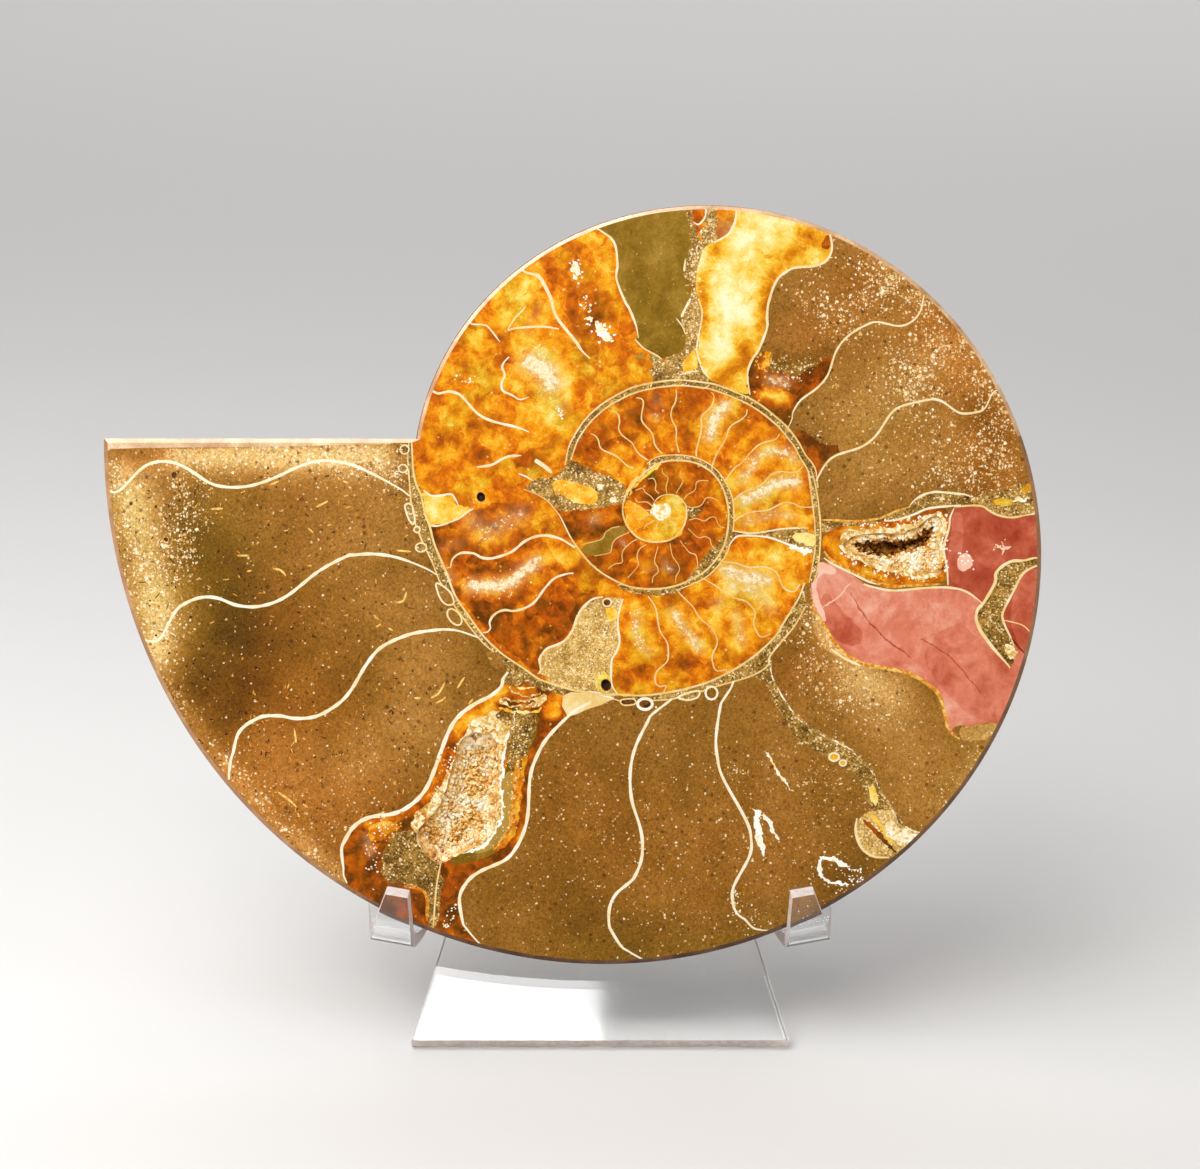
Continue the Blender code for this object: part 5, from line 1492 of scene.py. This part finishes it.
def rib(angle, share):
    """The depth of the furrow between two ribs at a place on the flank, in millimetres."""
    sickle = 9.0 * sin((share - 0.45) * 5.5) + 6.0 * max(0.0, share - 0.8) / 0.2
    wave = 0.5 - 0.5 * cos(2 * pi * (angle + sickle) / RIB_EVERY)
    fade = min(1.0, max(0.0, share - 0.3) / 0.25) * min(1.0, (1.0 - share) / 0.08)
    return RIB_HEIGHT * coil_radius(angle) / MOUTH_RADIUS * wave**1.5 * fade


def flank_point(angle, share):
    full = coil_radius(angle)
    depth = FLANK_DEPTH * full * flank_shape(share) - rib(angle, share)
    return on_face(share * full * cos(radians(angle)), share * full * sin(radians(angle)), depth)


print("thickest, mm:", round(FLANK_DEPTH * MOUTH_RADIUS * flank_shape(SHOULDER_SHARE), 1))

# %% Build the back
back = bmesh.new()
growth_layer = back.verts.layers.float.new("growth")
across_layer = back.verts.layers.float.new("across")
JOIN_SHARE = SEAM_SHARE * TURN_GROWTH
inner_count = len(INNER_SHARES)
back_shares = INNER_SHARES + [JOIN_SHARE] + [share for share in OUTER_SHARES if share > JOIN_SHARE + 0.02]
skews = [mouth_crossing(share) - START if share > JOIN_SHARE else 0.0 for share in back_shares]


def back_vertex(point, angle, share):
    vertex = back.verts.new(point)
    vertex[growth_layer] = angle / 15.0
    vertex[across_layer] = share
    return vertex


back_rows = []
for k in range(2 * BACK_COLUMNS + 1):
    angle = START + BACK_STEP * k
    row = []
    for j, share in enumerate(back_shares):
        if j > inner_count and k > BACK_COLUMNS:
            break
        if j == inner_count and k >= BACK_COLUMNS:
            row.append(back_rows[k - BACK_COLUMNS][0])
            continue
        turned = angle + skews[j] * max(0.0, 1 - k / SKEW_COLUMNS)
        row.append(back_vertex(flank_point(turned, share), turned, share))
    back_rows.append(row)


def join_rows(first, second, slot=0):
    for a, b, c, d in zip(first, first[1:], second[1:], second):
        corners = list(dict.fromkeys((a, b, c, d)))
        if len(corners) > 2:
            back.faces.new(corners).material_index = slot


for k in range(2 * BACK_COLUMNS):
    keep = None if k < BACK_COLUMNS else inner_count + 1
    join_rows(back_rows[k][:keep], back_rows[k + 1][:keep])
rim_shoulder, rim_edge = [], []
for k in range(BACK_COLUMNS + 1):
    angle = START + BACK_STEP * k + (CORNER - START) * max(0.0, 1 - k / SKEW_COLUMNS)
    u, v = polar(angle, coil_radius(angle))
    depth = RIM_EDGE_SHARE * FLANK_DEPTH * coil_radius(angle) * flank_shape(0.985)
    rim_shoulder.append(back_vertex(on_face(u, v, depth), angle, 1.0))
    rim_edge.append(back_vertex(on_face(u, v, RIM_DEPTH), angle, 1.0))
join_rows([row[-1] for row in back_rows[: BACK_COLUMNS + 1]], rim_shoulder)
join_rows(rim_shoulder, rim_edge, 1)
print("back columns:", BACK_COLUMNS, "shares:", len(back_shares))

# %% The sawn mouth and the step down to the coil
top_row = back_rows[0][inner_count:]
wall_rows = [top_row]
for part in (0.75, 0.5, 0.25, 0.0):
    row = [rim_edge[-1]] if part == 0.0 else [None]
    for vertex in top_row[1:]:
        local = tilt.inverted() @ (vertex.co - FACE_ORIGIN)
        depth = RIM_DEPTH + (local.y / MM - RIM_DEPTH) * part
        row.append(back_vertex(on_face(local.x / MM, local.z / MM, depth), START, 0.5))
    if row[0] is None:
        local = tilt.inverted() @ (top_row[0].co - FACE_ORIGIN)
        goal = tilt.inverted() @ (rim_edge[-1].co - FACE_ORIGIN)
        between = goal + (local - goal) * part
        row[0] = back_vertex(on_face(*(x / MM for x in (between.x, between.z, between.y))), START, 0.5)
    wall_rows.append(row)
for first, second in zip(wall_rows, wall_rows[1:]):
    join_rows(first, second, 1)
corner = [row[-1] for row in wall_rows]
back.faces.new([*corner, rim_edge[0], rim_shoulder[0]]).material_index = 1
step_loop = back_rows[0][: inner_count + 1] + [row[0] for row in wall_rows[1:]] + [rim_shoulder[-1]]
step_loop += back_rows[BACK_COLUMNS][:inner_count:-1]
back.faces.new(step_loop).material_index = 1
centre = back_vertex(on_face(0, 0, CENTRE_DEPTH), START + 720, 0.2)
fan = [row[0] for row in back_rows[BACK_COLUMNS:]] + back_rows[-1][1:inner_count]
for first, second in zip(fan, fan[1:] + fan[:1]):
    back.faces.new((first, second, centre))
bmesh.ops.recalc_face_normals(back, faces=back.faces)
bmesh.ops.triangulate(back, faces=[face for face in back.faces if len(face.verts) > 4])
back_mesh = bpy.data.meshes.new("ammonite_back")
back.to_mesh(back_mesh)
back.free()
back_mesh.shade_smooth()
back_mesh.set_sharp_from_angle(angle=radians(38))
store_values(back_mesh, "fill", [0.6 if polygon.material_index else 0.5 for polygon in back_mesh.polygons], "FACE")
print("back faces:", len(back_mesh.polygons))

# %% Finish of the shell's outside
shell_back, place, look = begin("natural_shell", 0.4, 14.0, 1.6)
growth, across = stored("growth"), stored("across")
frill = math(across, "*", 27.0, "SINE", 0.0, "*", 0.2)
for rate, size in ((81.0, 0.075), (243.0, 0.03)):
    frill = math(frill, "+", math(across, "*", rate, "SINE", 0.0, "*", size))
chamber = math(growth, "+", frill, "+", math(look["Patch"], "-", 0.5, "*", 0.25), "FRACT", 0.0)
from_line = math(chamber, "-", 0.5, "ABSOLUTE", 0.0, "/", 0.022)
suture = math(1.0, "-", from_line, clamp=True)
shade = math(look["Patch"], "*", 0.9, "+", math(look["Grain"], "*", 0.25), "+", math(chamber, "-", 0.5, "*", 0.18))
brown = ramp(shade, ".25 78,46,20; .45 124,80,38; .62 164,114,60; .8 206,164,110; .95 228,200,160")
pearl = ramp(look["Facets"], ".2 150,96,60; .5 140,128,74; .8 196,130,96")
brown = mix(math(look["Veins"], "*", 0.35), brown, pearl)
brown = mix(math(suture, "*", 0.85), brown, srgb(236, 214, 172))
polish(brown, 0.3, "Grain", 0.04, 0.6)
for finish in (shell_back, STONE["bevel"]):
    back_mesh.materials.append(finish)
back_piece = bpy.data.objects.new("ammonite_back", back_mesh)
bpy.context.scene.collection.objects.link(back_piece)
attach(back_piece, "root")
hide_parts("ammonite_half")
print("back finish:", shell_back.name)

# %% [markdown]
# ## Crystals in the open hollows
#
# Two chambers were never filled up. Water left crusts of pointed calcite crystals on their walls. Each
# crust is a bumpy bowl, set with several hundred small pyramids that point inwards at slightly different
# angles. A bump map could not give their shadows and bright tips, so the larger ones are real shape. Their
# tips are also painted paler and the bowl between them darker, partly as their own colour and partly as
# painted highlight and painted shade.

# %% Crystal crusts
CALCITE, place, look = begin("calcite_points", 0.3, 3.0, 0.8)
value = total(("tip", 0.9), ("Patch", 1.7, 0.48), ("Facets", 0.2, 0.5), ("Grain", 0.8, 0.5))
calcite_shade = ramp(value, "0 92,42,8; .25 172,104,34; .5 230,170,76; .75 250,214,130; 1 255,250,230")
polish(calcite_shade, 0.26, None, 0.0, 0.15)


SIDES = 5  # of each crystal
CRUST_SHARE = 0.985
CRUST_EDGE_DEPTH = 0.55
LIP_DEPTH = 0.8


def crust(name, node, edge, opening, floor_depth, wall_width, spacing, longest, tip_shade, seed):
    """A bowl with crystals, deep only inside the opening: tip_shade(u, v, w) says how pale they are at a place."""
    luck = np.random.default_rng(seed)
    edge = np.asarray(edge)
    middle = edge.mean(axis=0)
    inner_edge = middle + (edge - middle) * CRUST_SHARE
    low, high = edge.min(axis=0), edge.max(axis=0)
    grid_u, grid_v = np.meshgrid(np.arange(low[0], high[0], spacing), np.arange(low[1], high[1], spacing))
    spots = np.column_stack([grid_u.ravel(), grid_v.ravel()]) + luck.uniform(-0.35, 0.35, (grid_u.size, 2)) * spacing
    spots = spots[inside(spots, inner_edge)]
    gap = np.sqrt(((spots[:, None, :] - edge[None]) ** 2).sum(axis=2))
    nearest, reach = gap.argmin(axis=1), gap.min(axis=1)
    spots, nearest, reach = spots[reach > 0.3], nearest[reach > 0.3], reach[reach > 0.3]
    from_opening = np.sqrt(((spots[:, None, :] - opening[None]) ** 2).sum(axis=2)).min(axis=1)
    sunk = np.where(inside(spots, opening), from_opening / wall_width, 0.0)
    depth = LIP_DEPTH + (floor_depth - LIP_DEPTH) * np.minimum(1.0, sunk) ** 0.8 + luck.uniform(-0.2, 0.3, len(spots))
    flat_points = np.vstack([inner_edge, spots])
    depths = np.concatenate([np.full(len(inner_edge), CRUST_EDGE_DEPTH), depth])
    rim_edges = [(i, (i + 1) % len(inner_edge)) for i in range(len(inner_edge))]
    net = delaunay_2d_cdt([Vector(point) for point in flat_points], rim_edges, [], 1, 1e-5, True)
    verts, tips, faces = [], [], []
    for (u, v), sources in zip(net[0], net[3]):
        w = depths[sources[0]] if sources else 1.0
        verts.append(on_face(u, v, w))
        # The bowl between the crystals is painted 0.18 darker than they are: painted shade between them.
        tips.append(tip_shade(u, v, w) - 0.18)
    faces += [tuple(face) for face in net[2]]
    for (u, v), near, far, w in zip(spots, nearest, reach, depth):
        inward = middle * 0.35 + np.array([u, v]) * 0.65 - edge[near]
        lean = inward / max(np.linalg.norm(inward), 1e-6) * max(0.15, 1 - far / wall_width)
        axis = Vector((lean[0], -1.0 + 0.75 * min(1.0, np.linalg.norm(lean)), lean[1]))
        axis = (axis + Vector(luck.normal(0, 0.28, 3))).normalized()
        length = min(longest * luck.uniform(0.45, 1.0) ** 1.3, (w - 0.25) / max(0.2, -axis.y))
        width = length * luck.uniform(0.28, 0.45)
        side = axis.orthogonal().normalized()
        other = axis.cross(side)
        base = Vector((u, w + 0.15, v))
        first = len(verts)
        spin = luck.uniform(0, 6)
        for level, size in ((0.0, 0.8), (0.55, 1.0)):
            for i in range(SIDES):
                turn = spin + 2 * pi * i / SIDES
                spot = base + axis * length * level + (side * cos(turn) + other * sin(turn)) * width * size
                verts.append(on_face(spot.x, spot.z, max(0.25, spot.y)))
                # Each crystal is painted paler up its length and most at its peak: partly its own colour and partly a
                # painted highlight.
                tips.append(tip_shade(u, v, w) + 0.1 * level + luck.uniform(-0.05, 0.05))
        peak = base + axis * length
        verts.append(on_face(peak.x, peak.z, max(0.2, peak.y)))
        tips.append(tip_shade(u, v, w) + 0.3)
        for i in range(SIDES):
            j = (i + 1) % SIDES
            faces.append((first + i, first + j, first + SIDES + j, first + SIDES + i))
            faces.append((first + SIDES + i, first + SIDES + j, first + 2 * SIDES))
    mesh = bpy.data.meshes.new(name)
    mesh.from_pydata([tuple(vertex) for vertex in verts], [], faces)
    mesh.materials.append(CALCITE)
    store_values(mesh, "tip", tips)
    mesh.update()
    piece = bpy.data.objects.new(name, mesh)
    bpy.context.scene.collection.objects.link(piece)
    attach(piece, "root")
    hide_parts(node)
    print(name, "has", len(spots), "crystals and", len(mesh.polygons), "faces")
    return piece


UPPER_OPENING = smooth(line("""
380,-76 25,14 35,4 40,2 30,6 26,16 14,8 0,-30 -20,-20 -25,-14 -30,-6 -25,-8 -25,4 -25,10
"""), 0.4, closed=True)


def upper_paleness_and_painted_shade(u, v, w):
    """White round the opening, golden at its left end, and darker with depth inside: partly the crystals' own brown
    and partly painted shade in the hollow.
    """
    golden = min(1.0, max(0.0, (40.5 - u) / 4))
    # Deeper crystals are painted darker: painted shade in the hollow, besides their own brown.
    return 0.86 - 0.3 * golden - 0.62 * min(1.0, max(0.0, (w - 1.2) / 1.6))


def lower_shade(u, v, w):
    """Mostly white and cream, browner at the left wall and towards the lower end."""
    left = min(1.0, max(0.0, (-41.5 - u) / 5))
    low = min(1.0, max(0.0, (-62 - v) / 8))
    high = min(1.0, max(0.0, (v + 52) / 5))
    return 0.78 - 0.14 * left - 0.08 * low - 0.12 * high - (0.1 if w < 1.2 else 0.0)


upper, lower = hollow_edges["upper"], hollow_edges["lower"]
crust("upper_hollow_druse", "upper_hollow_crystals", upper, UPPER_OPENING, 6.0, 1.8, 0.5, 1.6, upper_paleness_and_painted_shade, 21)
crust("lower_hollow_druse", "lower_hollow_crystals", lower, lower, 3.0, 2.6, 0.46, 1.2, lower_shade, 22)

# %% [markdown]
# ## The clear easel
#
# The stand is one sheet of clear acrylic, sawn to shape, warmed along lines and bent: a foot at the front, two
# hooks that curl round under the fossil, a panel behind it and a leg that folds down at the back. It
# could be modelled as a solid and hollowed, but it is far easier as the flat sheet's middle surface that a
# Solidify modifier thickens. The same modifier can give the sawn edges their own frosted finish.

# %% Easel sizes and path
SHEET = 3.0
EASEL_CENTRE = -12.2
COIL_BEHIND_FOOT = 30.4
COIL_HEIGHT = 102.8
PANEL_HALF_WIDTH = 47.3
FOOT_SLOPE, FOOT_LENGTH, FOOT_BEND_RADIUS = 41.0, 25.6, 8.0
FOOT_HALF_WIDTH, FOOT_ROOT_HALF_WIDTH = 37.6, 28.2
SLIT_RISE = 7.0
PANEL_SLOPE, PANEL_LENGTH, PANEL_TAPER_AT = 64.0, 77.0, 0.4
TOP_BEND_RADIUS, REAR_SLOPE, REAR_HALF_WIDTH = 9.0, -73.0, 28.0
SOLE_TRIM = 0.45
SLIT_ROOT = 31.5
PRONG_LEAN, PRONG_BEND = radians(10.0), radians(139.0)
PRONG_STRAIGHT, PRONG_BEND_RADIUS, PRONG_LIP = 3.6, 8.5, 6.4
PRONG_WIDTHS = ((0.0, 15.8), (4.0, 14.2), (13.0, 9.8), (24.0, 7.1), (31.0, 4.4))
EASEL_ORIGIN = FACE_ORIGIN + Vector((EASEL_CENTRE, -COIL_BEHIND_FOOT, -COIL_HEIGHT)) * MM
print("easel origin, mm:", [round(x * 1000, 2) for x in EASEL_ORIGIN])


def run(point, length, slope):
    """The point reached from (y, z) by going this far at a slope in degrees."""
    return (point[0] + length * cos(radians(slope)), point[1] + length * sin(radians(slope)))


def bend(point, radius, slope, turn, steps):
    """Points of a bend in the side view that starts at a point with this slope and turns on in steps."""
    points = []
    step = turn / steps
    for i in range(steps):
        point = run(point, 2 * radius * sin(radians(abs(step) / 2)), slope + step * (i + 0.5))
        points.append(point)
    return points


# %% Build the sheet
sheet = bmesh.new()


def sheet_row(point, positions):
    return [sheet.verts.new((x * MM, point[0] * MM, point[1] * MM)) for x in positions]


def sheet_strip(first, second):
    for a, b, c, d in zip(first, first[1:], second[1:], second):
        sheet.faces.new((a, b, c, d))


half_sheet = SHEET / 2
foot_end = (-half_sheet * sin(radians(FOOT_SLOPE)), half_sheet * cos(radians(FOOT_SLOPE)) - SOLE_TRIM)
foot_top = run(foot_end, FOOT_LENGTH, FOOT_SLOPE)
crease = bend(foot_top, FOOT_BEND_RADIUS, FOOT_SLOPE, PANEL_SLOPE - FOOT_SLOPE, 10)
right_half = (FOOT_ROOT_HALF_WIDTH, SLIT_ROOT, PANEL_HALF_WIDTH)
across_sheet = [-x for x in reversed(right_half)] + list(right_half)
slit_end = run(crease[-1], SLIT_RISE, PANEL_SLOPE)
taper = run(slit_end, PANEL_LENGTH * PANEL_TAPER_AT, PANEL_SLOPE)
panel_top = run(slit_end, PANEL_LENGTH, PANEL_SLOPE)
over = bend(panel_top, TOP_BEND_RADIUS, PANEL_SLOPE, REAR_SLOPE - PANEL_SLOPE, 24)
drop = over[-1][1] + SOLE_TRIM - half_sheet * cos(radians(REAR_SLOPE))
rear_foot = run(over[-1], drop / sin(radians(-REAR_SLOPE)), REAR_SLOPE)
narrow = [x * REAR_HALF_WIDTH / PANEL_HALF_WIDTH for x in across_sheet]
panel_rows = [sheet_row(slit_end, across_sheet), sheet_row(taper, across_sheet)]
panel_rows += [sheet_row(point, narrow) for point in (panel_top, *over, rear_foot)]
for first, second in zip(panel_rows, panel_rows[1:]):
    sheet_strip(first, second)
foot_points = [foot_end, foot_top, *crease, slit_end]
row = panel_rows[0][2:4]
foot_reach = hypot(foot_points[-1][0] - foot_end[0], foot_points[-1][1] - foot_end[1])
for point in reversed(foot_points[:-1]):
    share = hypot(foot_points[-1][0] - point[0], foot_points[-1][1] - point[1]) / foot_reach
    half = FOOT_ROOT_HALF_WIDTH + (FOOT_HALF_WIDTH - FOOT_ROOT_HALF_WIDTH) * share
    below = sheet_row(point, (-half, half))
    sheet_strip(row, below)
    row = below


def width_at(distance):
    return float(np.interp(distance, [place for place, _ in PRONG_WIDTHS], [wide for _, wide in PRONG_WIDTHS]))


def add_prong(root_row, side, steps=26):
    """A hook: down beside the foot, round in a bend, and up in a short lip in front of the stone."""
    slope = radians(PANEL_SLOPE)
    down = Vector((0.0, -cos(slope), -sin(slope)))
    front = Vector((0.0, -sin(slope), cos(slope)))
    outward = Vector((side, 0.0, 0.0))
    along = outward * sin(PRONG_LEAN) + down * cos(PRONG_LEAN)
    sideways = outward * cos(PRONG_LEAN) - down * sin(PRONG_LEAN)
    root = (root_row[0].co + root_row[1].co) / 2 / MM
    start = root + along * PRONG_STRAIGHT
    stations = [(start, PRONG_STRAIGHT)]
    for i in range(1, steps + 1):
        turn = PRONG_BEND * i / steps
        place = start + (along * sin(turn) + front * (1 - cos(turn))) * PRONG_BEND_RADIUS
        stations.append((place, PRONG_STRAIGHT + PRONG_BEND_RADIUS * turn))
    heading = along * cos(PRONG_BEND) + front * sin(PRONG_BEND)
    stations.append((stations[-1][0] + heading * PRONG_LIP, stations[-1][1] + PRONG_LIP))
    row = root_row
    for place, distance in stations:
        half = width_at(distance) / 2
        below = [sheet.verts.new((place + sideways * reach) * MM) for reach in (-half, half)]
        sheet_strip(row, below)
        row = below


add_prong(panel_rows[0][1::-1], -1)
add_prong(panel_rows[0][4:], 1)
bmesh.ops.recalc_face_normals(sheet, faces=sheet.faces)
sheet_mesh = bpy.data.meshes.new("easel_sheet")
sheet.to_mesh(sheet_mesh)
sheet.free()
print("sheet faces:", len(sheet_mesh.polygons))

# %% Acrylic finishes
ACRYLIC = new_material("clear_acrylic_face")
smears = ramp(clouds(add("TexCoord").outputs["Object"], 60.0, 3.0), ((0.35, 0.015), (0.7, 0.06)))
clear = add("BsdfPrincipled", Base_Color=(0.985, 0.99, 0.99, 1.0), Roughness=smears, IOR=1.49, Transmission_Weight=1.0)
add("OutputMaterial", Surface=clear.outputs[0])
SAWN = new_material("sawn_acrylic_edge")
streaks = clouds(add("TexCoord").outputs["Object"], 900.0)
saw_marks = add("Bump", Height=streaks, Strength=0.4, Distance=0.0001).outputs[0]
# The sawn edge is frosted white with a warm tint: partly the frost's own milky colour and partly a painted warm
# reflection of the amber stone.
frosted = ramp(streaks, ".3 226,208,200; .7 250,240,234")
milky = add("BsdfPrincipled", Base_Color=frosted, Normal=saw_marks, Roughness=0.45, IOR=1.49, Transmission_Weight=0.35)
add("OutputMaterial", Surface=milky.outputs[0])
print("acrylic finishes:", ACRYLIC.name, "and", SAWN.name)

# %% Thicken, trim the soles and round the edges
draft = bpy.data.objects.new("easel_draft", sheet_mesh)
bpy.context.scene.collection.objects.link(draft)
thickness = draft.modifiers.new("sheet thickness", "SOLIDIFY")
thickness.thickness = SHEET * MM
thickness.offset = 0.0
thickness.use_even_offset = True
thickness.material_offset_rim = 1
sheet_mesh.materials.append(ACRYLIC)
sheet_mesh.materials.append(SAWN)
bpy.context.view_layer.update()
solid = bmesh.new()
solid.from_mesh(draft.evaluated_get(bpy.context.evaluated_depsgraph_get()).to_mesh())
bpy.data.objects.remove(draft)
everything = solid.verts[:] + solid.edges[:] + solid.faces[:]
bmesh.ops.bisect_plane(solid, geom=everything, plane_co=(0, 0, 0), plane_no=(0, 0, -1), clear_outer=True)
soles = bmesh.ops.holes_fill(solid, edges=[edge for edge in solid.edges if edge.is_boundary], sides=0)["faces"]
for face in soles:
    face.material_index = 1
solid.transform(Matrix.Translation(EASEL_ORIGIN))
bmesh.ops.recalc_face_normals(solid, faces=solid.faces)
easel_mesh = bpy.data.meshes.new("acrylic_easel")
solid.to_mesh(easel_mesh)
solid.free()
easel_mesh.materials.append(ACRYLIC)
easel_mesh.materials.append(SAWN)
easel_mesh.shade_smooth()
easel_mesh.set_sharp_from_angle(angle=radians(30))
easel = bpy.data.objects.new("acrylic_easel", easel_mesh)
bpy.context.scene.collection.objects.link(easel)
rounding = easel.modifiers.new("softened edges", "BEVEL")
rounding.width = 0.2 * MM
rounding.segments = 2
rounding.limit_method = "ANGLE"
rounding.angle_limit = radians(50)
rounding.harden_normals = True
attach(easel, "root")
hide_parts("acrylic_stand")
print("easel faces:", len(easel_mesh.polygons), "with soles:", len(soles))
